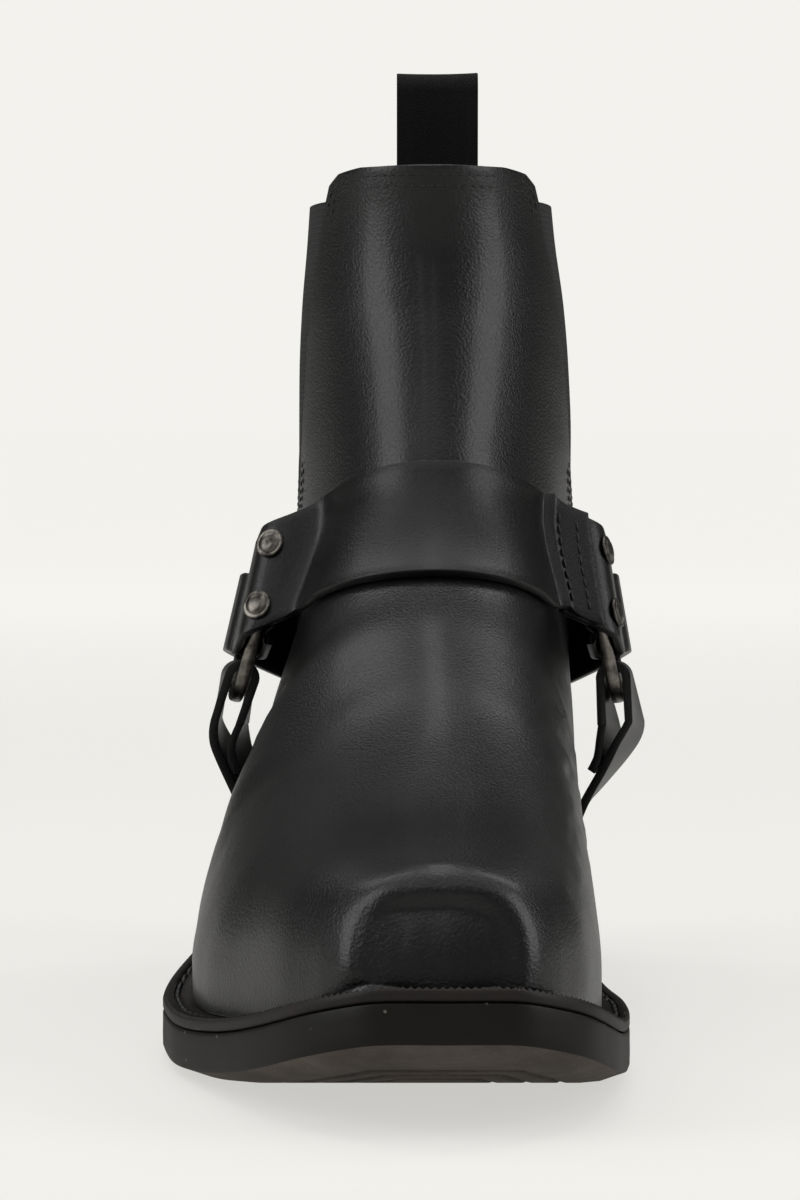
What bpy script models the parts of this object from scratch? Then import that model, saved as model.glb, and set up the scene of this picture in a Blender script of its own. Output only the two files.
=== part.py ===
# Harness boot, right foot: toe towards -Y, inner (medial) side towards +X, standing on z = 0.
# The origin is the middle of the heel's bottom face. Every size is in metres.

import math

import bmesh
import bpy
from mathutils import Vector

# Sole
SOLE_LENGTH = 0.305
SOLE_WIDTH = 0.110
HEEL_WIDTH = 0.068
HEEL_LENGTH = 0.067
HEEL_HEIGHT = 0.0267
HEEL_TAPER = 0.0025
LIFT_THICKNESS = 0.007
TOE_SPRING = 0.0186
OUTSOLE_THICKNESS = 0.0115
RIM_RISE = 0.002
RIM_BEVEL = 0.009
WELT_THICKNESS = 0.0028
WELT_LEDGE = 0.0066
INSOLE_THICKNESS = 0.0045
INSOLE_PLAY = 0.0012
TREAD_GROOVE_WIDTH = 0.0026
TREAD_GROOVE_DEPTH = 0.0016
TREAD_GROOVE_PITCH = 0.0075
TREAD_EDGE = 0.0125
TREAD_FRONT = 0.016
TREAD_BACK = 0.128
TREAD_RINGS = 3
TREAD_STEPS = 8

# Upper
TOE_HEIGHT = 0.0580
INSTEP_HEIGHT = 0.138
COLLAR_HEIGHT = 0.2148
ANKLE_WIDTH = 0.0730
SHAFT_WIDTH = 0.0640
SHAFT_DEPTH = 0.1195
LEATHER = 0.0022
COLLAR_DIP = 0.0075
COLLAR_BACK_RISE = 0.0015

# Elastic windows
GORE_TOP_WIDTH = 0.062
PANEL_CORNER = 0.016
GORE_FOOT_WIDTH = 0.030
GORE_HEIGHT = 0.088
GORE_THICKNESS = 0.0014
GORE_BACKSET = 0.0003
GORE_CENTRE = 0.545
GORE_ARC_STEPS = 5

# Harness. The rings stand beside the ankle: ring_yaw turns a ring's front towards the boot, ring_lean
# swings its foot outwards. A strap's angle is the way it runs from its ring, seen from the side:
# 0 straight back, 90 straight up, 180 straight forwards.
STRAP_THICKNESS = 0.0022
RING_RADIUS = 0.0217
RING_WIRE = 0.0017
RING_STATION = 0.200
RING_Z = 0.101
RING_YAW = 5.0
LATERAL_RING_X = -0.0466
MEDIAL_RING_X = 0.0438
LATERAL_LEAN = 13.5
MEDIAL_LEAN = 10.0
INSTEP_WIDTH = 0.0340
INSTEP_END_WIDTH = 0.0300
INSTEP_ANGLE = 160.0
SHANK_WIDTH = 0.0190
SHANK_ANGLE = -93.0
SHANK_FOOT = 12.6
HEEL_STRAP_WIDTH = 0.0210
HEEL_STRAP_ANGLE = -4.0
HEEL_STRAP_Z = 0.080
FOLD_SLACK = 0.0026
FLAP_LENGTH = 0.020
FLAP_STEPS = 3
RIVET_RADIUS = 0.0038
RIVET_HEIGHT = 0.0011

WIRE_CLEAR = 0.0114
INSTEP_MIDDLE = 15.0
INSTEP_BOW = 0.007
INSTEP_DEPART = 0.30
INSTEP_STEPS = 7
INSTEP_CUT = 4
BRIDGE_STEPS = 6
BRIDGE_EASE = 0.36
FOLD_STEPS = 6
STRAP_ROWS = 3
DEPART_ROOM = 0.0075
SHANK_EASE = 0.24
SHANK_BEND = 0.30
SHANK_SPREAD = 34.0
SHANK_TURN = 2.4
SHANK_STEPS = 7
HEEL_DEPART = 0.70
HEEL_STEPS_ROUND = 6
RING_STEPS = 26
WIRE_STEPS = 6
RIVET_STEPS = 10
RIVET_SPREAD = 0.0095
LATERAL_RIVET_BACK = 0.0040
MEDIAL_RIVET_BACK = 0.0004
RIVET_LIFT = 0.0009
LOOP_SHIFT = 0.0014
LOOP_STEPS = 8
LOOP_ROWS = 4

# Pull loop
LOOP_WIDTH = 0.0226
LOOP_THICKNESS = 0.0016
LOOP_RISE = 0.0318
LOOP_TAIL = 0.026
LOOP_GAPE = 0.0072

# Space left between pieces that touch
SEAT_GAP = 0.0003
STRAP_GAP = 0.0005

# Stations round the sole edge, from toe to heel. along: share of the sole's length. medial and lateral:
# share of the width. heel: how far the row follows the heel's width instead of the ball's. ledge: share
# of the welt's ledge that shows there.
SOLE_ROWS = (
    # along, medial, lateral, heel, ledge
    (0.0000, 0.000, 0.000, 0.0, 0.93),
    (0.0010, 0.147, 0.128, 0.0, 0.93),
    (0.0130, 0.205, 0.190, 0.0, 0.92),
    (0.0430, 0.280, 0.275, 0.0, 0.92),
    (0.0980, 0.335, 0.362, 0.0, 0.95),
    (0.1900, 0.376, 0.468, 0.0, 0.95),
    (0.2750, 0.399, 0.550, 0.0, 0.95),
    (0.3380, 0.402, 0.583, 0.0, 0.97),
    (0.3840, 0.388, 0.596, 0.0, 1.00),
    (0.4430, 0.358, 0.588, 0.0, 0.96),
    (0.5180, 0.317, 0.528, 0.0, 0.85),
    (0.6060, 0.322, 0.485, 0.3, 0.70),
    (0.6950, 0.371, 0.464, 0.7, 0.52),
    (0.7800, 0.478, 0.508, 1.0, 0.42),
    (0.8590, 0.494, 0.500, 1.0, 0.40),
    (0.9310, 0.444, 0.447, 1.0, 0.40),
    (0.9810, 0.285, 0.285, 1.0, 0.40),
    (1.0000, 0.000, 0.000, 1.0, 0.40),
)
SPRING_END = 0.328
FLAT_END = 0.387
SEAT_START = 0.760
SPRING_CURVE = 2.1
RIM_FADE_START = 0.42
RIM_FADE_END = 0.62

# Sections of the foot, from toe to the back of the heel. edge: the row of SOLE_ROWS where both ends
# of the section stand. top: the share of the sole's length where its crest lies, and crest: its height.
# lateral and medial: the widest half breadths. belly: how far up the section is widest. wall: how far
# its side stays upright. crown: how far its top stays flat. low: share of the girth below the belly.
TOE_SECTIONS = (
    # edge, top, crest (of toe height), lateral, medial (of sole width), belly, walls, crowns, low
    (0.60, 0.0245, 0.785, 0.098, 0.097, 0.30, 0.60, 0.60, 0.66, 0.66, 0.22),
    (1.35, 0.0330, 0.915, 0.152, 0.152, 0.28, 0.62, 0.62, 0.64, 0.64, 0.22),
    (2.00, 0.0450, 0.975, 0.182, 0.181, 0.26, 0.64, 0.64, 0.64, 0.64, 0.22),
    (3.00, 0.0680, 1.005, 0.235, 0.229, 0.26, 0.64, 0.64, 0.68, 0.68, 0.22),
    (4.00, 0.1080, 1.047, 0.314, 0.284, 0.24, 0.60, 0.62, 0.74, 0.72, 0.22),
)
VAMP_SECTIONS = (
    # edge, top, crest (of instep height), lateral, medial (of sole width), belly, walls, crowns, low
    (5.00, 0.1870, 0.480, 0.410, 0.325, 0.18, 0.45, 0.60, 0.72, 0.72, 0.20),
    (6.00, 0.2560, 0.540, 0.492, 0.337, 0.14, 0.32, 0.60, 0.67, 0.72, 0.19),
    (7.00, 0.3080, 0.598, 0.524, 0.340, 0.12, 0.26, 0.60, 0.62, 0.72, 0.18),
    (8.00, 0.3480, 0.656, 0.532, 0.338, 0.11, 0.25, 0.60, 0.59, 0.72, 0.18),
    (9.00, 0.3840, 0.707, 0.530, 0.336, 0.11, 0.30, 0.62, 0.61, 0.73, 0.18),
    (10.0, 0.4160, 0.754, 0.502, 0.332, 0.13, 0.38, 0.62, 0.65, 0.74, 0.20),
)
HEEL_SECTIONS = (
    # edge, top, crest (of instep height), lateral, medial (of ankle width), belly, walls, crowns, low
    (11.0, 0.4460, 0.794, 0.650, 0.490, 0.17, 0.46, 0.62, 0.68, 0.75, 0.24),
    (12.0, 0.4690, 0.830, 0.605, 0.494, 0.22, 0.53, 0.62, 0.70, 0.75, 0.28),
    (13.0, 0.4870, 0.870, 0.568, 0.498, 0.26, 0.58, 0.62, 0.70, 0.74, 0.33),
    (14.0, 0.5000, 0.910, 0.542, 0.500, 0.29, 0.60, 0.62, 0.70, 0.72, 0.37),
    (15.0, 0.5085, 0.943, 0.526, 0.500, 0.32, 0.60, 0.62, 0.69, 0.70, 0.41),
    (16.0, 0.5150, 0.972, 0.516, 0.500, 0.34, 0.60, 0.62, 0.67, 0.69, 0.44),
    (17.0, 0.5200, 1.000, 0.511, 0.500, 0.36, 0.60, 0.61, 0.66, 0.68, 0.46),
)
# Loops of the shaft, from the top of the heel to the collar. rise: share of the way from the instep to
# the collar at the front, and back: the same at the back seam. front and rear: offsets of the two
# lines from the collar, as a share of the shaft's depth. taper: how far the loop has the shaft's width.
SHAFT_SECTIONS = (
    # rise, back, front, rear, taper, lateral, medial, belly, walls, crowns, low
    (0.070, 0.072, -0.084, 0.130, 0.0, 0.507, 0.502, 0.38, 0.60, 0.61, 0.65, 0.67, 0.47),
    (0.180, 0.190, -0.058, 0.138, 0.0, 0.505, 0.507, 0.41, 0.59, 0.60, 0.64, 0.65, 0.48),
    (0.310, 0.315, -0.029, 0.113, 0.0, 0.503, 0.512, 0.44, 0.58, 0.59, 0.63, 0.64, 0.49),
    (0.440, 0.445, -0.004, 0.075, 0.0, 0.502, 0.512, 0.46, 0.57, 0.58, 0.62, 0.63, 0.50),
    (0.580, 0.575, 0.017, 0.042, 0.0, 0.500, 0.502, 0.48, 0.57, 0.57, 0.62, 0.62, 0.50),
    (0.720, 0.712, 0.025, 0.017, 0.3, 0.508, 0.500, 0.50, 0.56, 0.56, 0.61, 0.61, 0.50),
    (0.865, 0.855, 0.017, 0.004, 0.7, 0.513, 0.490, 0.50, 0.56, 0.56, 0.60, 0.60, 0.50),
    (1.000, 1.000, 0.000, 0.000, 1.0, 0.516, 0.484, 0.50, 0.56, 0.56, 0.60, 0.60, 0.50),
)
COLLAR_FRONT = 0.5590
LOW_ROUND = 0.60
SHAFT_STEPS = 11


def clear_scene():
    for thing in list(bpy.data.objects):
        bpy.data.objects.remove(thing)


def material(name, colour, roughness, metallic=0.0):
    made = bpy.data.materials.new(name)
    made.use_nodes = True
    shader = made.node_tree.nodes["Principled BSDF"]
    shader.inputs["Base Color"].default_value = (*colour, 1.0)
    shader.inputs["Roughness"].default_value = roughness
    shader.inputs["Metallic"].default_value = metallic
    made.diffuse_color = (*colour, 1.0)
    return made


def solid(name, points, faces, made_of):
    """One closed solid from points and faces, with coincident points merged and its faces turned outwards."""
    mesh = bpy.data.meshes.new(name)
    shape = bmesh.new()
    corners = [shape.verts.new(point) for point in points]
    for face in faces:
        ring = list(dict.fromkeys(face))
        if len(ring) > 2:
            shape.faces.new([corners[index] for index in ring])
    bmesh.ops.remove_doubles(shape, verts=shape.verts, dist=1e-6)
    bmesh.ops.dissolve_degenerate(shape, edges=shape.edges, dist=1e-6)
    bmesh.ops.recalc_face_normals(shape, faces=shape.faces)
    shape.to_mesh(mesh)
    shape.free()
    if made_of:
        mesh.materials.append(made_of)
    mesh.shade_smooth()
    mesh.set_sharp_from_angle(angle=math.radians(35))
    thing = bpy.data.objects.new(name, mesh)
    bpy.context.scene.collection.objects.link(thing)
    return thing


def slopes(values):
    """Tangents at the rows of a column that add no bumps between them."""
    steps = [b - a for a, b in zip(values, values[1:])]
    inner = [0.0 if a * b <= 0 else 2 * a * b / (a + b) for a, b in zip(steps, steps[1:])]
    return [steps[0]] + inner + [steps[-1]]


def hermite(a, b, slope_a, slope_b, t):
    return (
        a * (1 + 2 * t) * (1 - t) ** 2
        + b * t * t * (3 - 2 * t)
        + slope_a * t * (1 - t) ** 2
        - slope_b * t * t * (1 - t)
    )


def smooth(t):
    t = min(1.0, max(0.0, t))
    return t * t * (3 - 2 * t)


def mix(a, b, t):
    return a + (b - a) * t


# Heights of the sole

HEEL_CENTRE = SOLE_LENGTH - 0.037


def y_of(station):
    """World y of a distance behind the toe tip."""
    return station - HEEL_CENTRE


def tread_height(station):
    """Underside of the outsole: toe spring, flat ball, waist and heel seat."""
    along = station / SOLE_LENGTH
    if along < SPRING_END:
        return TOE_SPRING * (1 - max(along, 0.0) / SPRING_END) ** SPRING_CURVE
    return HEEL_HEIGHT * smooth((along - FLAT_END) / (SEAT_START - FLAT_END))


def rim_share(station):
    """The bevelled rim runs round the forefoot and fades out at the waist."""
    return 1 - smooth((station / SOLE_LENGTH - RIM_FADE_START) / (RIM_FADE_END - RIM_FADE_START))


def rim_height(station):
    return tread_height(station) + RIM_RISE * rim_share(station)


def welt_top(station):
    return tread_height(station) + OUTSOLE_THICKNESS + WELT_THICKNESS


# The edge of the sole and lines set in from it

LAST_ROW = len(SOLE_ROWS) - 1


def edge_rows(side, inset, ledge, rim=0.0):
    """Points (x, station) of one side, set in by a length and shares of the welt's ledge and rim."""
    rows = []
    for along, medial, lateral, heel, show in SOLE_ROWS:
        width = mix(SOLE_WIDTH, HEEL_WIDTH, heel)
        share = medial if side > 0 else lateral
        station = along * SOLE_LENGTH
        depth = inset + ledge * show * WELT_LEDGE + rim * rim_share(station)
        rows.append((side * share * width, station, depth))
    moved = []
    for index, (x, station, depth) in enumerate(rows):
        before = rows[index - 1] if index else (-rows[1][0], rows[1][1], 0)
        after = rows[index + 1] if index < LAST_ROW else (-rows[-2][0], rows[-2][1], 0)
        along = Vector((after[0] - before[0], after[1] - before[1])).normalized()
        inward = Vector((-along.y, along.x)) * side
        moved.append((x + inward.x * depth, station + inward.y * depth))
    return moved


def edge_point(side, row, inset=0.0, ledge=0.0, rim=0.0):
    """Point (x, station) of the sole's edge at a row number, whole or between two rows."""
    rows = edge_rows(side, inset, ledge, rim)
    mirror_first = (-rows[1][0], rows[1][1])
    mirror_last = (-rows[-2][0], rows[-2][1])
    ring = [mirror_first] + rows + [mirror_last]
    row = min(max(row, 0.0), float(LAST_ROW))
    index = min(int(row), LAST_ROW - 1)
    t = row - index
    p0, p1, p2, p3 = (Vector(point) for point in ring[index : index + 4])
    return catmull(p0, p1, p2, p3, t)


def catmull(p0, p1, p2, p3, t):
    """A point between p1 and p2 of a curve whose speed follows the spacing of its points."""
    d0 = max((p1 - p0).length ** 0.5, 1e-9)
    d1 = max((p2 - p1).length ** 0.5, 1e-9)
    d2 = max((p3 - p2).length ** 0.5, 1e-9)
    m1 = ((p1 - p0) / d0 - (p2 - p0) / (d0 + d1) + (p2 - p1) / d1) * d1
    m2 = ((p2 - p1) / d1 - (p3 - p1) / (d1 + d2) + (p3 - p2) / d2) * d1
    return (
        p1 * ((1 + 2 * t) * (1 - t) ** 2)
        + p2 * (t * t * (3 - 2 * t))
        + m1 * (t * (1 - t) ** 2)
        - m2 * (t * t * (1 - t))
    )


def edge_samples():
    """Row numbers round one side, closer together at the toe corner."""
    rows = [0.0, 0.6, 1.0, 1.35, 1.7, 2.0, 2.35, 2.7, 3.0, 3.5]
    rows += [4.0 + 0.5 * step for step in range(24)]
    return rows + [16.0, 16.4, 16.75, 17.0]


def edge_loop(inset=0.0, ledge=0.0, rim=0.0):
    """The whole edge as (x, station) points: toe, medial side, heel, lateral side."""
    samples = edge_samples()
    medial = [edge_point(1, row, inset, ledge, rim) for row in samples]
    lateral = [edge_point(-1, row, inset, ledge, rim) for row in samples[1:-1]]
    return medial + lateral[::-1]


def across_faces(count, start, flip=False):
    """Quads that join each point of the medial side with its fellow on the lateral side."""
    half = count // 2
    faces = []
    for index in range(half):
        a, b = index, index + 1
        c, d = (count - index - 1) % count, (count - index) % count
        face = [start + a, start + b, start + c, start + d]
        faces.append(face[::-1] if flip else face)
    return faces


def loft(loops, closed_ends=True):
    """Points and faces of loops of equal length, one after the other, with both ends filled across."""
    count = len(loops[0])
    points = [point for loop in loops for point in loop]
    faces = []
    for level in range(len(loops) - 1):
        base = level * count
        for index in range(count):
            after = (index + 1) % count
            faces.append([base + index, base + after, base + count + after, base + count + index])
    if closed_ends:
        faces += across_faces(count, 0, True)
        faces += across_faces(count, (len(loops) - 1) * count)
    return points, faces


def at_height(loop, height, lift=0.0):
    return [(x, y_of(station), height(station) + lift) for x, station in loop]


def inset_x(side, station, inset):
    """Where the line set in from the sole's edge passes a station."""
    low, high = 1.0, LAST_ROW - 1.0
    for _ in range(24):
        row = (low + high) / 2
        if edge_point(side, row, inset, 0.0)[1] < station:
            low = row
        else:
            high = row
    return edge_point(side, low, inset, 0.0)[0]


def tread_loop(inset):
    """A closed line under the forefoot, at one distance from the sole's edge and from the tread's ends."""
    front, back = TREAD_FRONT + inset - TREAD_EDGE, TREAD_BACK - inset + TREAD_EDGE
    stations = [mix(front, back, step / TREAD_STEPS) for step in range(TREAD_STEPS + 1)]
    medial = [(inset_x(1, station, inset), station) for station in stations]
    lateral = [(inset_x(-1, station, inset), station) for station in stations[::-1]]
    return medial + lateral


def cut_tread(sole):
    """Nested grooves leave the raised ribs that the boot walks on."""
    for ring in range(TREAD_RINGS):
        inset = TREAD_EDGE + ring * TREAD_GROOVE_PITCH
        points, faces = [], []
        depth = TREAD_GROOVE_DEPTH
        for reach, height in ((0.0, depth), (0.0, -0.004), (1.0, -0.004), (1.0, depth)):
            for x, station in tread_loop(inset + reach * TREAD_GROOVE_WIDTH):
                points.append((x, y_of(station), tread_height(station) + height))
        count = len(points) // 4
        for band in range(4):
            here, there = band * count, (band + 1) % 4 * count
            for step in range(count):
                after = (step + 1) % count
                faces.append([here + step, here + after, there + after, there + step])
        cutter = solid("tread_groove_" + str(ring + 1), points, faces, None)
        cutter.hide_render = True
        cutter.display_type = "WIRE"
        boolean(sole, cutter, "DIFFERENCE")


def make_outsole(rubber):
    top_edge = -SEAT_GAP - WELT_THICKNESS
    loops = [
        at_height(edge_loop(0.0008, 0.0, RIM_BEVEL), tread_height),
        at_height(edge_loop(0.0004), rim_height),
        at_height(edge_loop(), rim_height, 0.0008),
        at_height(edge_loop(), welt_top, top_edge - 0.0006),
        at_height(edge_loop(0.0005), welt_top, top_edge),
    ]
    sole = solid("outsole", *loft(loops), rubber)
    cut_tread(sole)
    return sole


def make_welt(rubber):
    outer = [edge_loop(0.0003), edge_loop(), edge_loop(), edge_loop(0.0005)]
    lifts = [-WELT_THICKNESS, 0.0005 - WELT_THICKNESS, -0.0006, 0.0]
    loops = [at_height(loop, welt_top, lift) for loop, lift in zip(outer, lifts)]
    inner = edge_loop(LEATHER + INSOLE_PLAY - SEAT_GAP, 1.0)
    loops.append(at_height(inner, welt_top))
    loops.append(at_height(inner, welt_top, -WELT_THICKNESS))
    points, faces = loft(loops, closed_ends=False)
    count = len(inner)
    last = (len(loops) - 1) * count
    for index in range(count):
        after = (index + 1) % count
        faces.append([last + index, last + after, after, index])
    return solid("welt", points, faces, rubber)


def make_insole(leather):
    loop = edge_loop(LEATHER + INSOLE_PLAY, 1.0)
    lifts = [-WELT_THICKNESS, INSOLE_THICKNESS - WELT_THICKNESS]
    return solid("insole", *loft([at_height(loop, welt_top, lift) for lift in lifts]), leather)


# The heel

HEEL_STEPS = 20
BREAST_STEPS = 4
BREAST_HOLLOW = 0.004


def heel_loop(inset, height):
    """The heel's outline at one height: round the back, then along a slightly hollow breast."""
    breast = SOLE_LENGTH - HEEL_LENGTH + inset

    def row_at(side):
        low, high = 10.0, 16.0
        for _ in range(40):
            middle = (low + high) / 2
            if edge_point(side, middle, inset).y < breast:
                low = middle
            else:
                high = middle
        return low

    half = HEEL_STEPS // 2
    starts = {side: row_at(side) for side in (1, -1)}
    around = []
    for side, steps in ((1, range(half + 1)), (-1, range(half - 1, -1, -1))):
        for step in steps:
            share = math.sin(math.pi / 2 * step / half)
            around.append(edge_point(side, mix(starts[side], LAST_ROW, share), inset))
    first, last = around[0], around[-1]
    for step in range(1, BREAST_STEPS):
        share = step / BREAST_STEPS
        point = last.lerp(first, share)
        around.append(Vector((point.x, point.y + BREAST_HOLLOW * math.sin(math.pi * share))))
    return [(x, y_of(station), height) for x, station in around]


def fan_faces(count, start, flip):
    face = [start + index for index in range(count)]
    return [face[::-1] if flip else face]


def make_heel_piece(name, bottom, top, made_of):
    def inset_at(height):
        return 0.0006 + HEEL_TAPER * (1 - height / HEEL_HEIGHT)

    edge = 0.0006
    loops = [
        heel_loop(inset_at(bottom) + edge, bottom),
        heel_loop(inset_at(bottom), bottom + edge),
        heel_loop(inset_at(top), top - edge),
        heel_loop(inset_at(top) + edge, top),
    ]
    points, faces = loft(loops, closed_ends=False)
    count = len(loops[0])
    faces += fan_faces(count, 0, True)
    faces += fan_faces(count, count * (len(loops) - 1), False)
    return solid(name, points, faces, made_of)


# The upper's own surface


def foot_row(row, crest_size, width_size):
    edge, top, crest, lateral, medial, *shape = row
    return [edge, top * SOLE_LENGTH, crest * crest_size, lateral * width_size, medial * width_size, *shape]


def shaft_row(row):
    rise, back, front, rear, taper, lateral, medial, *shape = row
    width = mix(ANKLE_WIDTH, SHAFT_WIDTH, taper)
    station = COLLAR_FRONT * SOLE_LENGTH + front * SHAFT_DEPTH
    height = mix(INSTEP_HEIGHT, COLLAR_HEIGHT, rise)
    return [float(LAST_ROW), station, height, lateral * width, medial * width, *shape]


def back_row(row):
    """Station and height of a shaft section at the back seam."""
    station = COLLAR_FRONT * SOLE_LENGTH + SHAFT_DEPTH * (1 + row[3])
    return [station, mix(foot_point(1, LAST_ROW).z, COLLAR_HEIGHT + COLLAR_BACK_RISE, row[1])]


def foot_point(side, edge):
    """Where the upper's outer face meets the welt."""
    x, station = edge_point(side, edge, 0.0, 1.0)
    return Vector((x, y_of(station), welt_top(station) + SEAT_GAP))


def tip_row(first):
    """The point where the toe's front face meets the welt: a section with no girth."""
    station = edge_point(1, 0.0, 0.0, 1.0).y
    return [0.0, station, foot_point(1, 0.0).z, 0.0, 0.0, *first[5:]]


FOOT_ROWS = [foot_row(row, TOE_HEIGHT, SOLE_WIDTH) for row in TOE_SECTIONS]
FOOT_ROWS += [foot_row(row, INSTEP_HEIGHT, SOLE_WIDTH) for row in VAMP_SECTIONS]
FOOT_ROWS += [foot_row(row, INSTEP_HEIGHT, ANKLE_WIDTH) for row in HEEL_SECTIONS]
ROWS = [tip_row(FOOT_ROWS[0])] + FOOT_ROWS + [shaft_row(row) for row in SHAFT_SECTIONS]
HEEL_BACK = len(FOOT_ROWS)
COLLAR = len(ROWS) - 1
HEEL_STATION = edge_point(1, LAST_ROW, 0.0, 1.0).y
BACK_ROWS = [[HEEL_STATION, foot_point(1, LAST_ROW).z]] + [back_row(row) for row in SHAFT_SECTIONS]
COLUMNS = list(zip(*ROWS))
TANGENTS = [slopes(column) for column in COLUMNS]
BACK_COLUMNS = list(zip(*BACK_ROWS))
BACK_TANGENTS = [slopes(column) for column in BACK_COLUMNS]


def read_rows(columns, tangents, at):
    """Every column at a row number, whole or between two rows."""
    last = len(columns[0]) - 1
    index = min(max(int(at), 0), last - 1)
    t = min(max(at, 0.0), float(last)) - index
    pairs = zip(columns, tangents)
    return [hermite(c[index], c[index + 1], m[index], m[index + 1], t) for c, m in pairs]


def bezier(a, b, c, d, t):
    s = 1 - t
    return a * s**3 + 3 * b * s * s * t + 3 * c * s * t * t + d * t**3


def below_belly(foot, width, share):
    """Half breadth and height, as a share of the belly's, on the curve that closes under a section.
    Where the section stands on the welt, only the part that is wider than its foot is used."""
    low, high = 0.0, 1.0
    for _ in range(24):
        middle = (low + high) / 2
        if bezier(0.0, LOW_ROUND, 1.0, 1.0, middle) * width < foot:
            low = middle
        else:
            high = middle
    t = mix(low, 1.0, share)
    floor = bezier(0.0, 0.0, 1 - LOW_ROUND, 1.0, low)
    height = bezier(0.0, 0.0, 1 - LOW_ROUND, 1.0, t)
    return bezier(0.0, LOW_ROUND, 1.0, 1.0, t) * width, (height - floor) / max(1 - floor, 1e-6)


def upper_point(at, round_share):
    """A point of the upper's outer face. round_share runs from -1, the lateral foot or the back seam,
    over 0, the crest or the front, to 1 on the medial side."""
    edge, station, top_z, lateral, medial, belly, wall_l, wall_m, crown_l, crown_m, low = read_rows(
        COLUMNS, TANGENTS, at
    )
    side = 1 if round_share > 0 else -1
    width, wall, crown = (medial, wall_m, crown_m) if side > 0 else (lateral, wall_l, crown_l)
    if at > HEEL_BACK:
        back_station, back_z = read_rows(BACK_COLUMNS, BACK_TANGENTS, at - HEEL_BACK)
        end = Vector((0, y_of(back_station), back_z))
    else:
        end = foot_point(side, edge)
    far = abs(round_share)
    if far > 1 - low:
        out, up = below_belly(abs(end.x), width, (1 - far) / low)
        up *= belly
    else:
        t = far / (1 - low)
        out = bezier(0.0, crown * width, width, width, t)
        up = bezier(1.0, 1.0, belly + wall * (1 - belly), belly, t)
    return Vector((side * out, mix(end.y, y_of(station), up), mix(end.z, top_z, up)))


def upper_normal(at, round_share):
    """Which way the outer face looks."""
    step = 0.02
    low_at, high_at = max(at - step, 0.02), min(at + step, float(COLLAR))
    low_r, high_r = max(round_share - step, -1.0), min(round_share + step, 1.0)
    along = upper_point(high_at, round_share) - upper_point(low_at, round_share)
    around = upper_point(max(at, 0.02), high_r) - upper_point(max(at, 0.02), low_r)
    normal = around.cross(along)
    return normal.normalized() if normal.length > 1e-12 else Vector((0, -1, 0))


def upper_offset(at, round_share, depth):
    """The outer face moved along its normal; positive is outwards."""
    return upper_point(at, round_share) + upper_normal(at, round_share) * depth


def shell_point(at, share, depth):
    """upper_offset, kept level along the foot of the wall and on the middle at the back seam."""
    if at <= 0:
        return upper_point(0, 0) + Vector((0, -depth, 0))
    point = upper_offset(at, share, depth)
    if abs(share) < 1:
        return point
    if at > HEEL_BACK:
        middle = (point + upper_offset(at, -share, depth)) / 2
        return Vector((0, middle.y, middle.z))
    foot = upper_point(at, share)
    if at == HEEL_BACK:
        return foot + Vector((0, depth, 0))
    level = Vector((point.x - foot.x, point.y - foot.y, 0))
    return foot + level.normalized() * abs(depth) if level.length > 1e-9 else foot


def clean_upper(name, steps_at, steps_round, outside, inside, made_of):
    """A shell of the whole upper between two depths."""
    points = []
    for depth in (outside, inside):
        for at in steps_at:
            for share in steps_round:
                points.append(shell_point(at, share, depth))
    columns = len(steps_round)
    sheet = len(steps_at) * columns
    faces = []
    for row in range(len(steps_at) - 1):
        for column in range(columns - 1):
            a = row * columns + column
            faces.append([a, a + 1, a + columns + 1, a + columns])
            faces.append([sheet + a, sheet + a + columns, sheet + a + columns + 1, sheet + a + 1])
        for column in (0, columns - 1):
            if steps_at[row] >= HEEL_BACK:
                continue
            a = row * columns + column
            face = [a, a + columns, sheet + a + columns, sheet + a]
            faces.append(face if column else face[::-1])
    rims = [len(steps_at) - 1] + ([0] if steps_at[0] >= HEEL_BACK else [])
    for row in rims:
        for column in range(columns - 1):
            a = row * columns + column
            faces.append([a, a + 1, sheet + a + 1, sheet + a])
    return solid(name, points, faces, made_of)


def section_steps():
    steps = [0.0, 0.5, 1.0, 1.5, 2.0, 2.5, 3.0, 3.5]
    steps += [4.0 + 0.5 * step for step in range(2 * (HEEL_BACK - 4) - 1)]
    steps += [HEEL_BACK - 0.6, HEEL_BACK - 0.25, float(HEEL_BACK)]
    return steps + [mix(HEEL_BACK, COLLAR, (step + 1) / SHAFT_STEPS) for step in range(SHAFT_STEPS)]


def round_steps():
    half = [0.0, 0.09, 0.18, 0.28, 0.38, 0.49, 0.60, 0.71, 0.81, 0.91, 1.0]
    return [-share for share in half[:0:-1]] + half


def make_upper(leather):
    return clean_upper("upper", section_steps(), round_steps(), 0.0, -LEATHER, leather)


# The elastic windows


def window_outline(gap, flared):
    """Outline (y, z) of a window seen from the side: a tongue with a round foot, open to the collar."""
    top_z = COLLAR_HEIGHT - COLLAR_DIP
    foot_z = COLLAR_HEIGHT - GORE_HEIGHT
    middle = y_of(COLLAR_FRONT * SOLE_LENGTH + GORE_CENTRE * SHAFT_DEPTH)
    radius = GORE_FOOT_WIDTH / 2 - gap
    half = GORE_TOP_WIDTH / 2 - gap
    right = []
    for step in range(GORE_ARC_STEPS + 1):
        angle = math.radians(80) * step / GORE_ARC_STEPS
        right.append((radius * math.sin(angle), foot_z + gap + radius * (1 - math.cos(angle))))
    right.append((half, top_z))
    if flared:
        for step in range(1, 4):
            angle = math.radians(30 * step)
            out = half + PANEL_CORNER * (1 - math.cos(angle))
            right.append((out, top_z + COLLAR_DIP * math.sin(angle)))
        right.append((half + 2 * PANEL_CORNER, top_z + COLLAR_DIP + COLLAR_BACK_RISE))
        right.append((half + 2 * PANEL_CORNER, top_z + 3 * COLLAR_DIP))
    left = [(-out, height) for out, height in right[:0:-1]]
    return [(middle + out, height) for out, height in left + right]


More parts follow.
